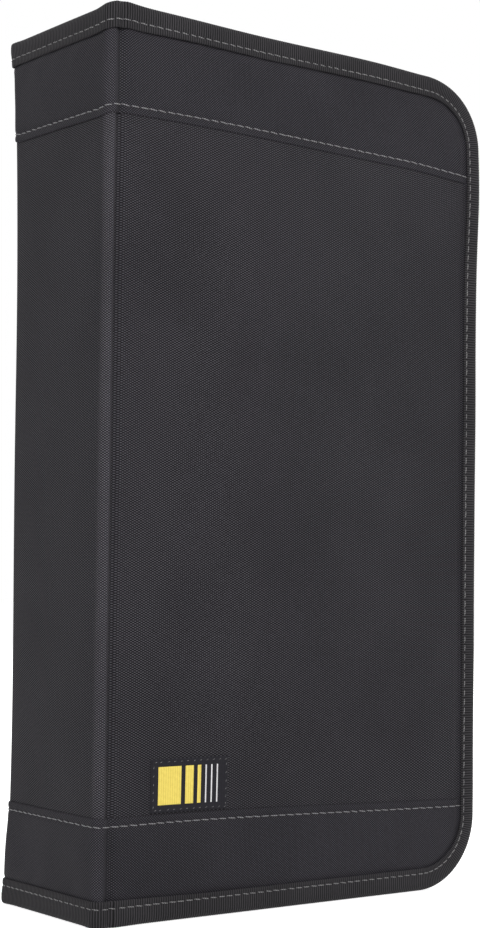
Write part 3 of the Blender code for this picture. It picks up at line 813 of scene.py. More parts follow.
# rows of a band: the rolled edge (distance from it, extra depth), then more distances, then shares of the rest
bandEdge = np.array([[0.00030, 0.0008], [0.00008, 0.00062], [0.0, 0.00040], [0.00008, 0.00018], [0.00030, 0.00004]])
bandRows = np.array([0.0006, 0.0010, 0.0014, 0.0018, 0.0022, 0.0025, 0.0027, 0.0029, 0.0032, 0.0037, 0.0044, 0.006])
bandShares = np.array([0.10, 0.22, 0.34, 0.46, 0.56, 0.63, 0.68, 0.72, 0.76, 0.80, 0.85, 0.92, 1.0])
bandNodes = {"front": "front_%s_band", "spine": "spine_%s_band", "back": "back_%s_band"}
for zone in zones:
    for end in ("top", "bottom"):
        w = columnsOf(zone, bandForm["columnSpacing"])[:, None]
        reach = clothTop(w) - upperSeam
        near = np.tile(np.append(bandEdge[:, 0], bandRows), (len(w), 1))
        fromEdge = np.hstack([near, bandRows[-1] + (reach - bandRows[-1]) * bandShares])
        faceZ = upperSeam + fromEdge if end == "top" else lowerSeam - fromEdge
        faceDepth = bandSurface(w, faceZ, fromEdge)
        faceDepth[:, :len(bandEdge)] += bandEdge[:, 1]
        backFrom = np.hstack([np.full_like(reach, bandForm["backStart"]), reach / 2, reach])
        backZ = upperSeam + backFrom if end == "top" else lowerSeam - backFrom
        backDepth = bandDepth + bandForm["thickness"] + foldGroove(w, bandForm["foldShare"])
        backDepth = backDepth + clothUnevenness(w, backZ) + bandForm["backGap"]
        rings, uv, slots = sheetRings(w[:, 0], faceZ, faceDepth, backZ, backDepth)
        mesh = loftMesh(zone + end.title() + "Band", rings, uv, slots)
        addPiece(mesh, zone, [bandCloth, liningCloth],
                 [bandNodes[zone] % end] if zone in bandNodes else [])

print("bands made")


# Bindings of ribbed tape

bindingForm = {
    "ribPitch": 0.00093,
    "ribHeight": 0.00010,
    "stitchTop": 0.0060,       # inset of the stitches along the top, the fore-edge and the base
    "stitchFore": 0.0056,
    "stitchBase": 0.0062,
    "foldFin": 0.0030,         # depth of the bound edge at the folds, full at the end of the taper
    "taper": 0.014,
    "spineTaper": 0.006,
    "foldShare": 0.35,         # of the groove at the folds, none of it at this depth
    "foldFloor": 0.007,
    "sway": 0.00014,           # how far the tape wanders off its line
    "swayLength": 0.05,
    "stitchPitch": 0.0033,
    "widerFold": 0.0006,       # how much wider the tape is next to the folds
    "widerSpread": 0.02,
    "narrowFore": 0.0012,      # and how much narrower along the fore-edge
}
ribbed = ribbedTape("ribbedTape", {
    "pitch": bindingForm["ribPitch"], "valleyShade": (22, 22, 23), "ridgeSheen": (56, 54, 57), "fibrePitch": 0.0003,
    "wanderScale": 300, "wander": 0.0004, "fuzzScale": 1200, "fuzz": 0.6, "contrast": (-0.4, 1.2), "wearScale": 30,
    "wear": (0.85, 1.15), "fibre": 0.3, "rough": (0.8, 0.62), "relief": 0.3, "threadHeight": 0.0001})

# closed section of the tape: inset in mm (over 6: less where the tape is narrower), 1 where it is counted from the
# stitches, depth in mm, share of the fin (depth of the bound edge) to be added, share of the ribs
bindingSection = np.array([
    (8.00, 0, 0.50, 0.00, 0.0), (8.00, 0, 0.22, 0.00, 0.5), (7.80, 0, 0.05, 0.00, 1.0),
    (7.15, 0, 0.00, 0.00, 1.0), (0.55, 1, 0.06, 0.00, 1.0), (0.00, 1, 0.26, 0.00, 0.6),
    (-0.55, 1, 0.06, 0.00, 1.0), (3.10, 0, -0.02, 0.00, 1.0), (2.00, 0, 0.06, 0.00, 1.0),
    (1.10, 0, 0.06, 0.04, 1.0), (0.45, 0, 0.05, 0.11, 1.0), (0.10, 0, 0.00, 0.25, 1.0),
    (0.00, 0, 0.00, 0.42, 1.0), (0.00, 0, 0.00, 0.58, 1.0), (0.10, 0, 0.00, 0.75, 1.0),
    (0.45, 0, -0.05, 0.89, 1.0), (1.10, 0, -0.06, 0.96, 1.0), (2.40, 0, 0.00, 1.00, 1.0),
    (0.00, 1, -0.20, 1.00, 0.6), (7.20, 0, 0.00, 1.00, 1.0), (7.90, 0, -0.14, 1.00, 1.0),
    (8.00, 0, -0.45, 1.00, 0.0), (0.90, 0, -0.55, 1.00, 0.0), (0.90, 0, 0.58, 0.00, 0.0),
])


# insets and depths of the section at each step, pushed out along its own outward direction by the ribs:
# half of (1 + cosine of the way along)
def bindingRings(along, stitchInset, fin, narrow):
    insets = bindingSection[:, 0] / 1000 + bindingSection[:, 1] * stitchInset[:, None]
    insets = insets - narrow[:, None] * (bindingSection[:, 0] > 6)
    depths = bindingSection[:, 2] / 1000 + bindingSection[:, 3] * fin[:, None]
    tangentInset = np.roll(insets, -1, axis=1) - np.roll(insets, 1, axis=1)
    tangentDepth = np.roll(depths, -1, axis=1) - np.roll(depths, 1, axis=1)
    length = np.hypot(tangentInset, tangentDepth) + 1e-9
    ribs = (0.5 + 0.5 * np.cos(2 * math.pi * along / bindingForm["ribPitch"]))[:, None]
    push = bindingForm["ribHeight"] * ribs * bindingSection[:, 4]
    sway = bindingForm["sway"] * ripples(along, 0, 12, bindingForm["swayLength"])[:, None] * bindingSection[:, 4]
    insets = insets - push * tangentDepth / length
    depths = depths + (push + sway) * tangentInset / length
    steps = (np.diff(values, axis=1, prepend=values[:, :1]) for values in (insets, depths))
    across = np.cumsum(np.hypot(*steps), axis=1)
    return insets, depths, laid(along[:, None], across)


# inset of the stitches on a cover: it changes round each rounded corner, from the top's to the fore-edge's
# and from there to the base's
def stitchInsetAt(s):
    top, fore, base = (bindingForm[key] for key in ("stitchTop", "stitchFore", "stitchBase"))
    first = (fore - top) * smooth((s - topRun) / quarter)
    second = (base - fore) * smooth((s - topRun - quarter - foreRun) / quarter)
    return top + first + second


# how much narrower the tape is: most along the fore-edge, and less than nothing next to the folds
def narrowAt(s):
    fromFold = np.minimum(s, rimLength - s)
    onFore = smooth((fromFold - topRun) / quarter)
    wider = bindingForm["widerFold"] * bell(fromFold, bindingForm["widerSpread"])
    return bindingForm["narrowFore"] * onFore - wider


# depth of the bound edge: thin at the folds, full further on
def coverFinAt(s):
    grown = smooth(np.minimum(s, rimLength - s) / bindingForm["taper"])
    return bindingForm["foldFin"] + (coverFin - bindingForm["foldFin"]) * grown


def spineFinAt(w):
    grown = smooth((np.minimum(w, spineLength - w) - spineArc) / bindingForm["spineTaper"])
    return bindingForm["foldFin"] + (spineFin - bindingForm["foldFin"]) * grown


for side, zone, node in ((-1, "front", "front_binding"), (1, "back", "back_binding")):
    s = np.linspace(0, rimLength, 1 + int(rimLength / bindingForm["ribPitch"] * 4))
    start = foldReach if side < 0 else spineLength + foldReach
    insets, depths, uv = bindingRings(start + s, stitchInsetAt(s), coverFinAt(s), narrowAt(s))
    mesh = loftMesh(zone + "Binding", rimPoint(side, s[:, None], insets, depths), uv, sharpAngle=60)
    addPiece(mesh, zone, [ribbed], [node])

for zone in ("frontFold", "spine", "backFold"):
    for end in ("top", "bottom"):
        low, high = zones[zone]
        w = np.linspace(low, high, 1 + int(math.ceil((high - low) / bindingForm["ribPitch"] * 5)))
        inset = bindingForm["stitchTop"] if end == "top" else bindingForm["stitchBase"]
        along = w if end == "top" else w + rimLength
        insets, depths, uv = bindingRings(along, np.full(len(w), inset), spineFinAt(w),
                                          np.full(len(w), -bindingForm["widerFold"]))
        groove = foldGroove(w, bindingForm["foldShare"])[:, None]
        depths = depths + groove * (1 - depths / bindingForm["foldFloor"])
        heights = caseTop - insets if end == "top" else insets
        mesh = loftMesh(zone + end.title() + "Binding", shellPoint(w[:, None], heights, depths), uv, sharpAngle=60)
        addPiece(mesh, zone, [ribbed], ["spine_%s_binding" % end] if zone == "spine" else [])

print("bindings made")


# Stitches

stitchForm = {
    "share": 0.95,             # of the pitch that one stitch covers
    "radius": 0.00020,
    "lift": 0.00015,           # how far its middle stands over the cloth
    "sink": 0.00020,           # and how far its ends go in
    "slant": 0.00014,
    "jitter": 0.00022,
    "taper": 0.9,
    "places": (-1, -0.72, -0.38, 0, 0.38, 0.72, 1.0),
    "around": 6,
    "edgeScale": 1.12,         # thicker thread in the row on the binding
    "edgeDepth": 0.00026,
    "innerRise": 0.0002,       # the same row seen from the other side of the bound edge
    "seamEnd": 0.0058,         # from the cloth's cut edge: the rows on the bands end under the binding
}


# Each stitch is a tapered tube that arches over the cloth. With t from -1 to 1 along it, height is lift minus
# (lift + sink) times t to the fourth, and radius is full times the square root of 1 minus taper times t squared.
# The tubes are laid out in (way along, way across, depth), and place turns that into points.
def stitchMesh(name, place, along, across, depth, pitch, outward=1, scale=1.0, seed=3):
    source = np.random.default_rng(seed)
    count = len(along)
    across, depth = (np.broadcast_to(values, count) for values in (across, depth))
    t = np.array(stitchForm["places"])[None, :, None]
    turn = (np.arange(stitchForm["around"]) / stitchForm["around"] * 2 * math.pi)[None, None, :]
    shift = source.normal(0, stitchForm["jitter"] / 2, (count, 1, 1))
    tilt = source.normal(0.0, 0.5, (count, 1, 1)) * stitchForm["slant"] + stitchForm["slant"]
    radius = stitchForm["radius"] * scale * np.sqrt(1 - stitchForm["taper"] * t ** 2)
    arch = (stitchForm["lift"] - (stitchForm["lift"] + stitchForm["sink"]) * t ** 4) * scale
    s = along[:, None, None] + shift + t * pitch * stitchForm["share"] / 2 + 0 * turn
    c = across[:, None, None] + tilt * t + radius * np.cos(turn)
    d = depth[:, None, None] - outward * (arch + radius * np.sin(turn))
    s, c, d = np.broadcast_arrays(s, c, d)
    return loftMesh(name, place(s, c, d), laid(s, stitchForm["radius"] * turn), sharpAngle=80)


# places of the stitches along one zone: whole pitches that fall inside it
def beats(low, high, pitch):
    first = math.ceil(low / pitch - 0.5)
    last = math.ceil(high / pitch - 0.5)
    return np.arange(first, last) * pitch


# places of the stitches round the free edge of a cover: the row goes on from the row on the fold, at both ends
def rimBeats(zone):
    pitch = bindingForm["stitchPitch"]
    if zone == "front":
        first = pitch * (1 - math.ceil(zones["frontFold"][0] / pitch - 0.5)) - foldReach
    else:
        first = pitch * math.ceil(zones["backFold"][1] / pitch - 0.5) - zones["backFold"][1]
    return np.linspace(first, rimLength - first, 1 + round((rimLength - 2 * first) / pitch))


def joinMeshes(name, meshes):
    shape = bmesh.new()
    for mesh in meshes:
        shape.from_mesh(mesh)
    joined = bpy.data.meshes.new(name)
    shape.to_mesh(joined)
    shape.free()
    return joined


seamPitch = bandForm["stitchPitch"]
edgePitch = bindingForm["stitchPitch"]
seamEnd = farEdge - stitchForm["seamEnd"]
for zone in zones:
    low, high = zones[zone]
    rows = []
    w = beats(max(low, -seamEnd), min(high, spineLength + seamEnd), seamPitch)
    for seed, height in ((1, upperSeam + bandForm["stitchLine"]), (2, lowerSeam - bandForm["stitchLine"])):
        depth = bandSurface(w, height, bandForm["stitchLine"])
        rows.append(stitchMesh(zone + "Seam", shellPoint, w, height, depth, seamPitch, seed=seed))
    if zone not in ("front", "back"):
        w = beats(low, high, edgePitch)
        depth = stitchForm["edgeDepth"] + foldGroove(w, bindingForm["foldShare"])
        for seed, height in ((5, caseTop - bindingForm["stitchTop"]), (6, bindingForm["stitchBase"])):
            rows.append(stitchMesh(zone + "Edge", shellPoint, w, height, depth, edgePitch,
                                   scale=stitchForm["edgeScale"], seed=seed))
    else:
        onRim = partial(rimPoint, -1 if zone == "front" else 1)
        s = rimBeats(zone)
        inset = stitchInsetAt(s)
        rows.append(stitchMesh(zone + "Edge", onRim, s, inset, stitchForm["edgeDepth"], edgePitch,
                               scale=stitchForm["edgeScale"], seed=7))
        rows.append(stitchMesh(zone + "Inner", onRim, s, inset, coverFinAt(s) - stitchForm["innerRise"], edgePitch,
                               outward=-1, seed=8))
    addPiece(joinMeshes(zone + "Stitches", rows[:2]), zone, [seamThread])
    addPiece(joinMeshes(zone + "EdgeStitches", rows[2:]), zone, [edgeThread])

print("stitches made")


# Gussets and the zip

gussetForm = {
    "sag": 0.0009,             # soft hollows of the side wall, from this depth to the hem
    "sagLength": 0.045,
    "sagFrom": 0.0062,
    "sagRise": 0.004,
    "sagFall": 0.006,
    "hem": 0.0045,             # width of the folded edge along the zip
    "hemRise": 0.00055,
    "hemStep": 0.0004,         # half the way over which it rises
    "hemRoll": 0.0004,         # how far its last edge turns in
    "stitchLine": 0.0021,      # from the edge along the zip
    "stitchGroove": 0.00022,
    "stitchSpread": 0.0005,
    "stitchScale": 0.8,
    "stitchPitch": 0.0033,
    "stitchMargin": 0.002,
    "flangeInset": 0.0012,     # the flange under the binding: its edge, its gap to the wall,
    "flangeGap": 0.0002,
    "flangeFace": 0.0009,      # and how far its two faces lie before the back of the bound edge
    "flangeBack": 0.0014,
    "step": 0.0022,
}

# rows of the side wall, in mm: depths up to the hem, then distances from the edge along the zip
wallDepths = np.array([6.3, 8.5, 11.0, 13.5, 16.0, 18.5])
hemDepths = np.array([2.6, 2.1, 1.6, 0.4, 0.0])


# how far the side wall lies inwards: half of sag times (1 + ripples), fading towards the binding and the hem
def wallHollow(s, depth):
    free = smooth((gussetReach - gussetForm["hem"] - depth) / gussetForm["sagFall"])
    free = free * smooth((depth - gussetForm["sagFrom"]) / gussetForm["sagRise"])
    return gussetForm["sag"] * (0.5 + ripples(s[:, None], depth * 2, 21, gussetForm["sagLength"]) * 0.5) * free


# insets and depths of the closed section at each step: flange, face, back and the flange's other side
def gussetRings(s):
    hemStart, step = gussetReach - gussetForm["hem"], gussetForm["hemStep"]
    faceDepth = np.concatenate([wallDepths / 1000, [hemStart - step, hemStart, hemStart + step],
                                gussetReach - hemDepths / 1000])
    backDepth = np.concatenate([[gussetReach], wallDepths[::-1] / 1000])
    rise = smooth((faceDepth - hemStart + step) / (2 * step)) * gussetForm["hemRise"]
    groove = bell(faceDepth - gussetReach + gussetForm["stitchLine"], gussetForm["stitchSpread"])
    rise = rise - gussetForm["stitchGroove"] * groove
    rise[-1] -= gussetForm["hemRoll"]
    face = laid(wallInset - rise + wallHollow(s, faceDepth), faceDepth)
    back = laid(wallBack + wallHollow(s, backDepth), backDepth)
    edge, gap = gussetForm["flangeInset"], gussetForm["flangeGap"]
    near, far = coverFin - gussetForm["flangeFace"], coverFin - gussetForm["flangeBack"]
    flange = np.tile([[edge, near], [wallInset - gap, near]], (len(s), 1, 1))
    under = np.tile([[wallBack, far], [edge, far]], (len(s), 1, 1))
    section = np.concatenate([flange, face, back, under], axis=1)
    across = np.cumsum(np.linalg.norm(np.diff(section, axis=1, prepend=section[:, :1]), axis=-1), axis=1)
    return section[..., 0], section[..., 1], laid(s[:, None], across)


tapeForm = {
    "step": 0.004,
    "roll": (0.0002, 0.0, 0.0, 0.0, 0.00005, 0.0002),       # how far each row of the face lies in
    "outerRow": 0.0002,        # rows next to its two edges
    "innerRows": (0.0012, 0.0003),
}


# closed section of the zip tape: a thin strip whose face is rounded at both edges
def tapeRings(s):
    inner = [tapeInner - row for row in tapeForm["innerRows"]]
    rows = [tapeOuter, tapeOuter + tapeForm["outerRow"], (tapeOuter + tapeInner) / 2, *inner, tapeInner]
    face = np.array(tapeForm["roll"]) + tapeInset
    inset = np.tile(np.append(face, np.full(len(rows), tapeBack)), (len(s), 1))
    depth = np.tile(rows + rows[::-1], (len(s), 1))
    return inset, depth, laid(s[:, None], depth)


coilForm = {
    "pitch": 0.0015,
    "filament": 0.00033,
    "headGrowth": 0.45,        # heads are thicker where the two coils mesh
    "across": 0.00175,         # half width and half height of a turn
    "height": 0.00085,
    "centre": 0.00155,         # from the middle plane
    "lower": 0.0003,           # further in than the solid's middle line
    "perTurn": 10,
    "around": 5,
}


# A helix: the way along is pitch times turns, and the section is an ellipse. A tube is put round it with the
# ellipse's own outward direction and the one square to it. Heads swell by cosine to the fourth.
def coilMesh(name, place, low, high, phase):
    turns = (high - low) / coilForm["pitch"]
    angle = np.linspace(0, turns * 2 * math.pi, 1 + int(turns * coilForm["perTurn"]))
    angle = angle + low / coilForm["pitch"] * 2 * math.pi
    swing = angle + phase
    centre = laid(angle * coilForm["pitch"] / (2 * math.pi),
                  coilInset + coilForm["lower"] + coilForm["height"] * np.sin(swing),
                  halfDepth - coilForm["centre"] + coilForm["across"] * np.cos(swing))
    way = np.gradient(centre, axis=0)
    way /= np.linalg.norm(way, axis=-1, keepdims=True)
    out = laid(0.0, np.sin(swing), np.cos(swing))
    out -= way * (out * way).sum(axis=-1, keepdims=True)
    out /= np.linalg.norm(out, axis=-1, keepdims=True)
    beside = np.cross(way, out)
    turn = np.arange(coilForm["around"]) / coilForm["around"] * 2 * math.pi
    head = np.clip(np.cos(swing), 0, 1) ** 4
    radius = (coilForm["filament"] * (1 + coilForm["headGrowth"] * head))[:, None, None]
    outward = out[:, None] * np.cos(turn)[:, None] + beside[:, None] * np.sin(turn)[:, None]
    rings = centre[:, None] + radius * outward
    uv = laid(rings[..., 0], coilForm["filament"] * turn)
    return loftMesh(name, place(rings[..., 0], rings[..., 1], rings[..., 2]), uv, sharpAngle=120)


endForm = {
    "steps": 12,               # of the short ends next to the spine
    "middleSteps": 4,
    "middleWidth": 0.003,      # of the strip that joins the two halves next to the spine
    "overlap": 0.0002,         # how far the strip reaches into them, and over the side wall
    "within": 0.00004,         # and how far it lies inside the faces of the tape
}

zipFrom = zipStart - coverBegin
zipTo = rimLength - zipFrom
endFrom = coilEndLeft - coverBegin
endTo = zipEndRight - coverBegin
gussetFrom = zipEndLeft - coverBegin


# a stretch of the way along the top, or its twin along the base
def stretch(place, low, high):
    return (low, high) if place == "top" else (rimLength - high, rimLength - low)


for side, zone in ((-1, "front"), (1, "back")):
    onRim = partial(rimPoint, side)
    s = np.linspace(zipFrom, zipTo, 1 + int((zipTo - zipFrom) / gussetForm["step"]))
    insets, depths, uv = gussetRings(s)
    mesh = loftMesh(zone + "Gusset", onRim(s[:, None], insets, depths), uv)
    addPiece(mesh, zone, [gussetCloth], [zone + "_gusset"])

    # on the wall a stitch stands out towards smaller insets, so depth and inset change places
    def onWall(along, depth, inset):
        return rimPoint(side, along, inset, depth)

    s = beats(zipFrom + gussetForm["stitchMargin"], zipTo - gussetForm["stitchMargin"], gussetForm["stitchPitch"])
    mesh = stitchMesh(zone + "ZipStitches", onWall, s, gussetReach - gussetForm["stitchLine"],
                      wallInset - gussetForm["hemRise"] + gussetForm["stitchGroove"], gussetForm["stitchPitch"],
                      scale=gussetForm["stitchScale"], seed=11)
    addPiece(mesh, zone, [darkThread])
    s = np.linspace(zipFrom, zipTo, 1 + int((zipTo - zipFrom) / tapeForm["step"]))
    insets, depths, uv = tapeRings(s)
    mesh = loftMesh(zone + "ZipTape", onRim(s[:, None], insets, depths), uv)
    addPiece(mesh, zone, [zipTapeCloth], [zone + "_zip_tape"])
    phase = 0 if side < 0 else math.pi
    mesh = coilMesh(zone + "ZipCoil", onRim, zipFrom, zipTo, phase)
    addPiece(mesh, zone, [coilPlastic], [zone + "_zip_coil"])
    for place in ("top", "bottom"):
        name = "zipEndCoil%s%s" % (place.title(), zone.title())
        mesh = coilMesh(name, onRim, *stretch(place, endFrom, endTo), phase)
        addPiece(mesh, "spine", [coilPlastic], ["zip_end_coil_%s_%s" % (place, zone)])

overlap, within = endForm["overlap"], endForm["within"]
for place in ("top", "bottom"):
    gussets = []
    tapes = []
    s = np.linspace(*stretch(place, gussetFrom, endTo), endForm["steps"])
    for side in (-1, 1):
        insets, depths, uv = gussetRings(s)
        wall = slice(2, -2)                                    # without the flange
        shape = rimPoint(side, s[:, None], insets[:, wall], depths[:, wall])
        gussets.append(loftMesh("wall", shape, uv[:, wall]))
        insets, depths, uv = tapeRings(s)
        tapes.append(loftMesh("tape", rimPoint(side, s[:, None], insets, depths), uv))
    low, high = stretch(place, gussetFrom, gussetFrom + endForm["middleWidth"])
    s = np.linspace(low, high, endForm["middleSteps"])[:, None]
    for parts, inset, back, reach in ((gussets, wallInset - overlap, wallBack, gussetReach),
                                      (tapes, tapeInset + within, tapeBack - within, tapeInner)):
        near, far = reach - overlap, 2 * halfDepth - (reach - overlap)
        depth = np.array([[near, halfDepth, far, far, halfDepth, near]])
        level = np.array([[inset, inset, inset, back, back, back]])
        parts.append(loftMesh("middle", rimPoint(-1, s, level, depth), laid(s, depth)))
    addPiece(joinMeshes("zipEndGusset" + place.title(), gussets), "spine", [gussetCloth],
             ["zip_end_gusset_" + place])
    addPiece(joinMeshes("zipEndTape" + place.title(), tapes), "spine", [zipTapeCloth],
             ["zip_end_tape_" + place])

print("gussets and zip made")


# Metal parts: the solids with their edges rounded

metalForm = {
    "bevel": 0.00018,
    "segments": 2,
    "mergeDistance": 1e-6,
    "flatAngle": 1,
    "sharpAngle": 35,
}


# a merged copy of a node's mesh, flat faces joined, with a bevel on every edge over 30 degrees
def roundedCopy(name, node, body):
    mesh = frame["nodes"][node].data.copy()
    mesh.name = name
    shape = bmesh.new()
    shape.from_mesh(mesh)
    bmesh.ops.remove_doubles(shape, verts=shape.verts, dist=metalForm["mergeDistance"])
    bmesh.ops.dissolve_limit(shape, angle_limit=math.radians(metalForm["flatAngle"]), verts=shape.verts,
                             edges=shape.edges)
    bmesh.ops.recalc_face_normals(shape, faces=shape.faces)
    shape.to_mesh(mesh)
    shape.free()
    mesh.materials.clear()
    copy = bpy.data.objects.new(name, mesh)
    bpy.context.scene.collection.objects.link(copy)
    bevel = copy.modifiers.new("Rounded", "BEVEL")
    bevel.width = metalForm["bevel"]
    bevel.segments = metalForm["segments"]
    bevel.limit_method = "ANGLE"
    bpy.context.view_layer.update()
    rounded = bpy.data.meshes.new_from_object(copy.evaluated_get(bpy.context.evaluated_depsgraph_get()))
    bpy.data.objects.remove(copy)
    bpy.data.meshes.remove(mesh)
    rounded.name = name
    rounded.shade_smooth()
    rounded.set_sharp_from_angle(angle=math.radians(metalForm["sharpAngle"]))
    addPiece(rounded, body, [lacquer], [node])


for name, node, body in (("zipSlider", "zip_slider", "slider"), ("zipPull", "pull_tab", "pull"),
                         ("zipStopTop", "zip_stop_top", "spine"), ("zipStopBottom", "zip_stop_bottom", "spine")):
    roundedCopy(name, node, body)

print("slider, pull and stops made")


# Leaves for the discs

leafForm = {
    "count": 20,
    "thickness": 0.0013,
    "gap": 0.00105,
    "weld": 0.00045,           # thickness along the welded edges
    "weldWidth": 0.006,
    "weldEdge": 0.001,         # the film's outermost rim, as thin as the weld
    "cornerRadius": 0.008,
    "bow": 0.0011,             # all leaves bow alike, by a share plus a wave of the height (in radians per metre)
    "bowShare": 0.6,
    "bowWave": 0.4,
    "bowTurn": 22,
    "bowStop": 0.03,           # distance from the middle leaf at which none would bow
    "crimp": 0.00012,
    "crimpLength": 0.05,
    "columns": 30,
    "rows": 26,
}


# Each leaf is a slab: thick where its two pockets are, thin at the welds, bowed by a sine of the way out.
# It is laid out as a fraction of its width and height, with rounded outer corners.
def leafMesh(name):
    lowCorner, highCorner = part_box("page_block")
    left, right = float(lowCorner[0]), float(highCorner[0])
    low, high = float(lowCorner[2]), float(highCorner[2])
    out = np.sin(np.linspace(0, math.pi / 2, leafForm["columns"]))
    x = (left + (right - left) * out)[:, None]
    past = np.maximum(x - (right - leafForm["cornerRadius"]), 0)
    trim = leafForm["cornerRadius"] - np.sqrt(np.maximum(leafForm["cornerRadius"] ** 2 - past ** 2, 0))
    share = (0.5 - 0.5 * np.cos(np.linspace(0, math.pi, leafForm["rows"])))[None]
    z = low + trim + (high - low - 2 * trim) * share
    middle = (low + high) / 2
    width, edge = leafForm["weldWidth"], leafForm["weldEdge"]
    inPocket = smooth((x - left - 2 * width) / width) * smooth((right - x - edge) / width)
    inPocket = inPocket * smooth((np.abs(z - middle) - width / 2) / width)
    inPocket = inPocket * smooth((np.minimum(z - low, high - z) - edge) / width)
    half = (leafForm["weld"] + (leafForm["thickness"] - leafForm["weld"]) * inPocket) / 2
    upright = leafForm["bowShare"] + leafForm["bowWave"] * np.cos((z - middle) * leafForm["bowTurn"])
    bow = leafForm["bow"] * np.sin(out[:, None] * math.pi) * upright
    count = leafForm["count"]
    centres = ((np.arange(count) - (count - 1) / 2) * (leafForm["thickness"] + leafForm["gap"]))[:, None, None]
    crimp = leafForm["crimp"] * np.stack([ripples(x, z, 40 + i, leafForm["crimpLength"]) for i in range(count)])
    y = centres + bow * (1 - (centres / leafForm["bowStop"]) ** 2) + crimp
    rings = np.concatenate([laid(x, y - half, z), laid(x, y + half, z)[:, :, ::-1]], axis=2)
    return loftMesh(name, rings, rings[..., [0, 2]], sharpAngle=50)


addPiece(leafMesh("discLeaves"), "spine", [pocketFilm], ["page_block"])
frame["nodes"]["page_binding_strip"].data.materials.clear()
frame["nodes"]["page_binding_strip"].data.materials.append(
    skin("stripTape", (34, 34, 36), (58, 58, 61), 1400, 0.7, 0.5, sheen_weight=0.1))

print("leaves made")


# Label patch

labelForm = {
    "thickness": 0.00055,
    "border": 0.0024,
    "borderRise": 0.00016,
    "stripeRise": 0.00016,
    "stripes": ((0.0029, 0.0121), (0.0138, 0.0171), (0.0187, 0.0201)),      # amber, from the left edge
    "lines": ((0.0219, 0.0224), (0.0242, 0.0247), (0.0265, 0.0270)),       # pale, from the left edge
    "threadPitch": 0.00038,
    "borderRun": 0.0006,
    "roll": 0.0003,            # how far the patch's edge turns down, and over which distance
    "rollRun": 0.0005,
    "spacing": 0.0004,
    "stripeSpacing": 0.00025,
    "stripeRoll": 0.00012,
    "stripeRun": 0.00025,
    "body": 0.0003,            # least thickness of a slab, and how far its back lies in the cloth
    "sink": 0.0002,
    "stitchEdge": 0.0009,      # stitches that hold the patch: from its edge, and their size
    "stitchPitch": 0.0026,
    "stitchLength": 0.0009,
    "stitchScale": 0.5,
    "stitchFirst": (0.0016, 0.0018),        # from the corner, along the rows and up the sides
    "stitchLast": 0.001,
}


patchForm = {
    "floatLength": 2.4,        # in rows
    "floats": 0.45,
    "fuzzScale": 1300,
    "fuzz": 0.9,
    "span": (-1.1, 1.4),
    "rough": (0.6, 0.82),
    "relief": 0.4,
    "threadHeight": 0.00008,
}


# Woven patch: lengthwise threads in fine rows, a sine of the height, with short floats across them
def wovenPatch(name, dark, light, pitch):
    material, tree, shader = newMaterial(name, sheen_weight=0.03, specular_ior_level=0.15)
    place, parts = placesOf(tree)
    rows = waveOf(tree, parts[1], pitch)
    shifted = math1(tree, "MULTIPLY_ADD", rows, pitch / 2, parts[0])
    floats = waveOf(tree, shifted, pitch * patchForm["floatLength"])
    weave = math1(tree, "MULTIPLY_ADD", floats, patchForm["floats"], rows)
    threadLook(tree, shader, place, weave, {**patchForm, "dark": dark, "light": light})
    return material


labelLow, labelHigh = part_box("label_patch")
labelLeft = float(labelLow[0]) - centreX                       # as way out on the cover
labelWidth = float(labelHigh[0] - labelLow[0])
labelBase = float(labelLow[2])
labelHeight = float(labelHigh[2] - labelLow[2])


# depth of the patch's face: over the cloth by its thickness, raised along the border, rolled off at the edge
def labelSurface(out, z):
    fromSide = np.minimum(out - labelLeft, labelLeft + labelWidth - out)
    fromEnd = np.minimum(z - labelBase, labelBase + labelHeight - z)
    inward = np.minimum(fromSide, fromEnd)
    run = labelForm["borderRun"]
    rise = labelForm["borderRise"] * (1 - smooth((inward - labelForm["border"] + run) / run))
    roll = labelForm["roll"] * (1 - smooth(inward / labelForm["rollRun"])) ** 2
    return fieldSurface(-out, z) - labelForm["thickness"] - rise + roll


# a rectangle on the label, of a given lift over its face, as closed sections from left to right
def labelSlab(name, left, right, low, high, lift, material, spacing=labelForm["spacing"]):
    out = np.linspace(left, right, 3 + int((right - left) / spacing))[:, None]
    z = np.linspace(low, high, 3 + int((high - low) / spacing))[None]
    face = labelSurface(out, z) - lift
    fromEdge = np.minimum(np.minimum(out - left, right - out), np.minimum(z - low, high - z))
    face = face + min(lift, labelForm["stripeRoll"]) * (1 - smooth(fromEdge / labelForm["stripeRun"]))
    back = face + max(lift, labelForm["body"]) + labelForm["sink"]
    depth = np.concatenate([face, back[:, ::-1]], axis=1)
    heights = np.broadcast_to(np.concatenate([z, z[:, ::-1]], axis=1), depth.shape)
    across = np.broadcast_to(-out, depth.shape)
    mesh = loftMesh(name, shellPoint(across, heights, depth), laid(across, heights))
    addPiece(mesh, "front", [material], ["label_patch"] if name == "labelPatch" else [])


labelSlab("labelPatch", labelLeft, labelLeft + labelWidth, labelBase, labelBase + labelHeight, 0.0,
          wovenPatch("labelWeave", (17, 16, 20), (36, 35, 41), labelForm["threadPitch"]))
amber = wovenPatch("amberThread", (204, 176, 68), (255, 234, 122), labelForm["threadPitch"])
pale = wovenPatch("paleThread", (196, 194, 196), (246, 244, 246), labelForm["threadPitch"])
inner = labelForm["border"] + 0.0001
for kind, material in (("stripes", amber), ("lines", pale)):
    for number, (left, right) in enumerate(labelForm[kind]):
        labelSlab("label%s%d" % (kind.title(), number + 1), labelLeft + left, labelLeft + right, labelBase + inner,
                  labelBase + labelHeight - inner, labelForm["stripeRise"], material, labelForm["stripeSpacing"])


# along a row on the label, and up one of its sides
def onPatch(along, across, depth):
    return shellPoint(-along, across, depth)


def onPatchSide(along, across, depth):
    return shellPoint(-across, along, depth)
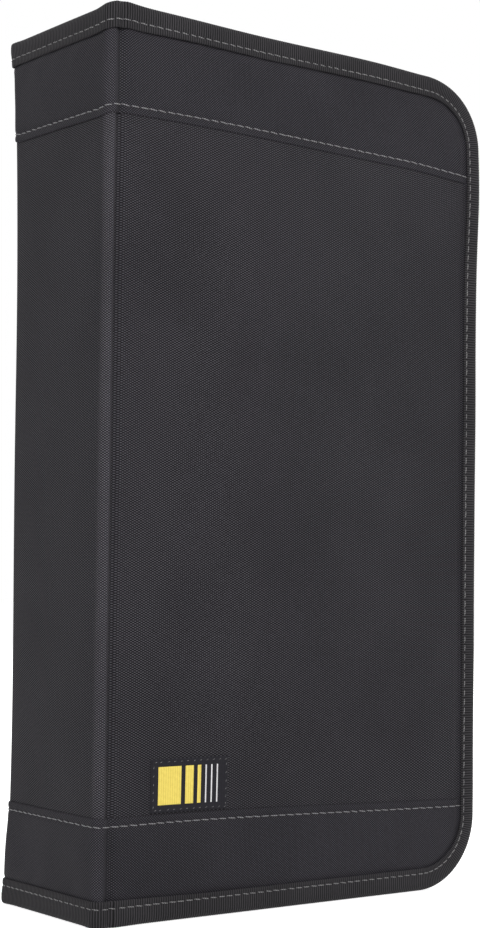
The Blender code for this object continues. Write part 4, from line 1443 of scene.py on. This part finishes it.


# The patch is sewn with black thread; its stitches take the pale grey edge thread as painted glints.
patchRows = []
edge, last = labelForm["stitchEdge"], labelForm["stitchLast"]
firstOut, firstUp = labelForm["stitchFirst"]
size = {"pitch": labelForm["stitchLength"], "scale": labelForm["stitchScale"]}
for z in (labelBase + edge, labelBase + labelHeight - edge):
    out = np.arange(labelLeft + firstOut, labelLeft + labelWidth - last, labelForm["stitchPitch"])
    patchRows.append(stitchMesh("patch", onPatch, out, z, labelSurface(out, z), seed=13, **size))
for out in (labelLeft + edge, labelLeft + labelWidth - edge):
    z = np.arange(labelBase + firstUp, labelBase + labelHeight - last, labelForm["stitchPitch"])
    patchRows.append(stitchMesh("patch", onPatchSide, z, out, labelSurface(out, z), seed=14, **size))
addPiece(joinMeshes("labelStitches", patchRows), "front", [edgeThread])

print("label made")


# Camera, floor and light

view = {
    "place": (-0.42510, -0.56641, 0.11883),
    "yaw": 36.652,
    "pitch": 2.8034,
    "roll": -0.7318,
    "lens": 76.079,
    "sensor": 36.0,
}


# looks along +Y turned by yaw towards +X, raised by pitch, then rolled; columns are right, up and back
def cameraMatrix():
    yaw, pitch, roll = (math.radians(view[key]) for key in ("yaw", "pitch", "roll"))
    ahead = np.array([math.sin(yaw) * math.cos(pitch), math.cos(yaw) * math.cos(pitch), math.sin(pitch)])
    right = np.array([math.cos(yaw), -math.sin(yaw), 0])
    down = np.cross(ahead, right)
    rolledRight = math.cos(roll) * right + math.sin(roll) * down
    rolledDown = math.cos(roll) * down - math.sin(roll) * right
    matrix = np.eye(4)
    matrix[:3] = np.column_stack([rolledRight, -rolledDown, -ahead, view["place"]])
    return Matrix(matrix.tolist())


cameraData = bpy.data.cameras.new("camera")
cameraData.lens = view["lens"]
cameraData.sensor_fit = "VERTICAL"
cameraData.sensor_height = view["sensor"]
cameraData.clip_start = 0.02
camera = bpy.data.objects.new("camera", cameraData)
bpy.context.scene.collection.objects.link(camera)
camera.matrix_world = cameraMatrix()
bpy.context.scene.camera = camera

studio = {
    "floorSize": 8.0,
    "floorColour": 0.82,
    "floorSpread": 0.01,
    "floorDrop": 0.0003,
    "floorGlow": 0.80,         # added for the camera, so that the floor is white but keeps its shadow
    "ambient": 0.24,
    "key": (-31, 22, 1.5, 0.9, 17.0),       # azimuth from -Y towards -X, height, distance, size, power
    "over": (-40, 78, 1.4, 1.4, 5.0),
    "right": (50, 20, 1.8, 1.2, 3.0),
    "behind": (140, 35, 1.6, 1.2, 14.0),
}


# camera, mirror and see-through rays see white
def seenDirectly(tree):
    rays = addNode(tree, "LightPath", {}, {})
    seen = math1(tree, "MAXIMUM", rays["Is Camera Ray"], rays["Is Glossy Ray"])
    return math1(tree, "MAXIMUM", seen, rays["Is Transmission Ray"])


def whiteFloor():
    half = studio["floorSize"] / 2
    mesh = bpy.data.meshes.new("floor")
    mesh.from_pydata([(-half, -half, 0), (half, -half, 0), (half, half, 0), (-half, half, 0)], [], [(0, 1, 2, 3)])
    material = bpy.data.materials.new("floor")
    material.use_nodes = True
    tree = material.node_tree
    tree.nodes.clear()
    places = addNode(tree, "TexCoord", {}, {})
    middle, spread = studio["floorColour"], studio["floorSpread"]
    tone = ranged(tree, noiseOf(tree, places["Object"], 3), 0, 1, middle - spread, middle + spread)
    colour = addNode(tree, "CombineColor", {}, {0: tone, 1: tone, 2: tone})[0]
    matt = addNode(tree, "BsdfDiffuse", {}, {"Color": colour})[0]
    glow = math1(tree, "MULTIPLY", seenDirectly(tree), studio["floorGlow"])
    light = addNode(tree, "Emission", {}, {"Color": (1, 1, 1, 1), "Strength": glow})[0]
    both = addNode(tree, "AddShader", {}, {0: matt, 1: light})[0]
    addNode(tree, "OutputMaterial", {}, {"Surface": both})
    mesh.materials.append(material)
    floor = bpy.data.objects.new("floor", mesh)
    floor.location.z = -studio["floorDrop"]
    bpy.context.scene.collection.objects.link(floor)


# a soft square lamp on a sphere round the case, facing its middle
def lamp(name, azimuth, height, distance, size, power):
    data = bpy.data.lights.new(name, "AREA")
    data.size = size
    data.energy = power
    turned, raised = math.radians(azimuth), math.radians(height)
    back = np.array([math.sin(turned) * math.cos(raised), -math.cos(turned) * math.cos(raised), math.sin(raised)])
    right = np.array([math.cos(turned), math.sin(turned), 0])
    matrix = np.eye(4)
    place = np.array([0, 0, caseTop / 2]) + distance * back
    matrix[:3] = np.column_stack([right, np.cross(back, right), back, place])
    light = bpy.data.objects.new(name, data)
    bpy.context.scene.collection.objects.link(light)
    light.matrix_world = Matrix(matrix.tolist())


def whiteWorld():
    world = bpy.data.worlds.new("studio")
    bpy.context.scene.world = world
    world.use_nodes = True
    tree = world.node_tree
    strength = ranged(tree, seenDirectly(tree), 0, 1, studio["ambient"], 1.0)
    background = tree.nodes["Background"]
    background.inputs["Color"].default_value = (1, 1, 1, 1)
    tree.links.new(strength, background.inputs["Strength"])


whiteFloor()
for name in ("key", "over", "right", "behind"):
    lamp(name, *studio[name])
whiteWorld()
bpy.context.scene.view_settings.view_transform = "Standard"

print("camera, floor and light ready")
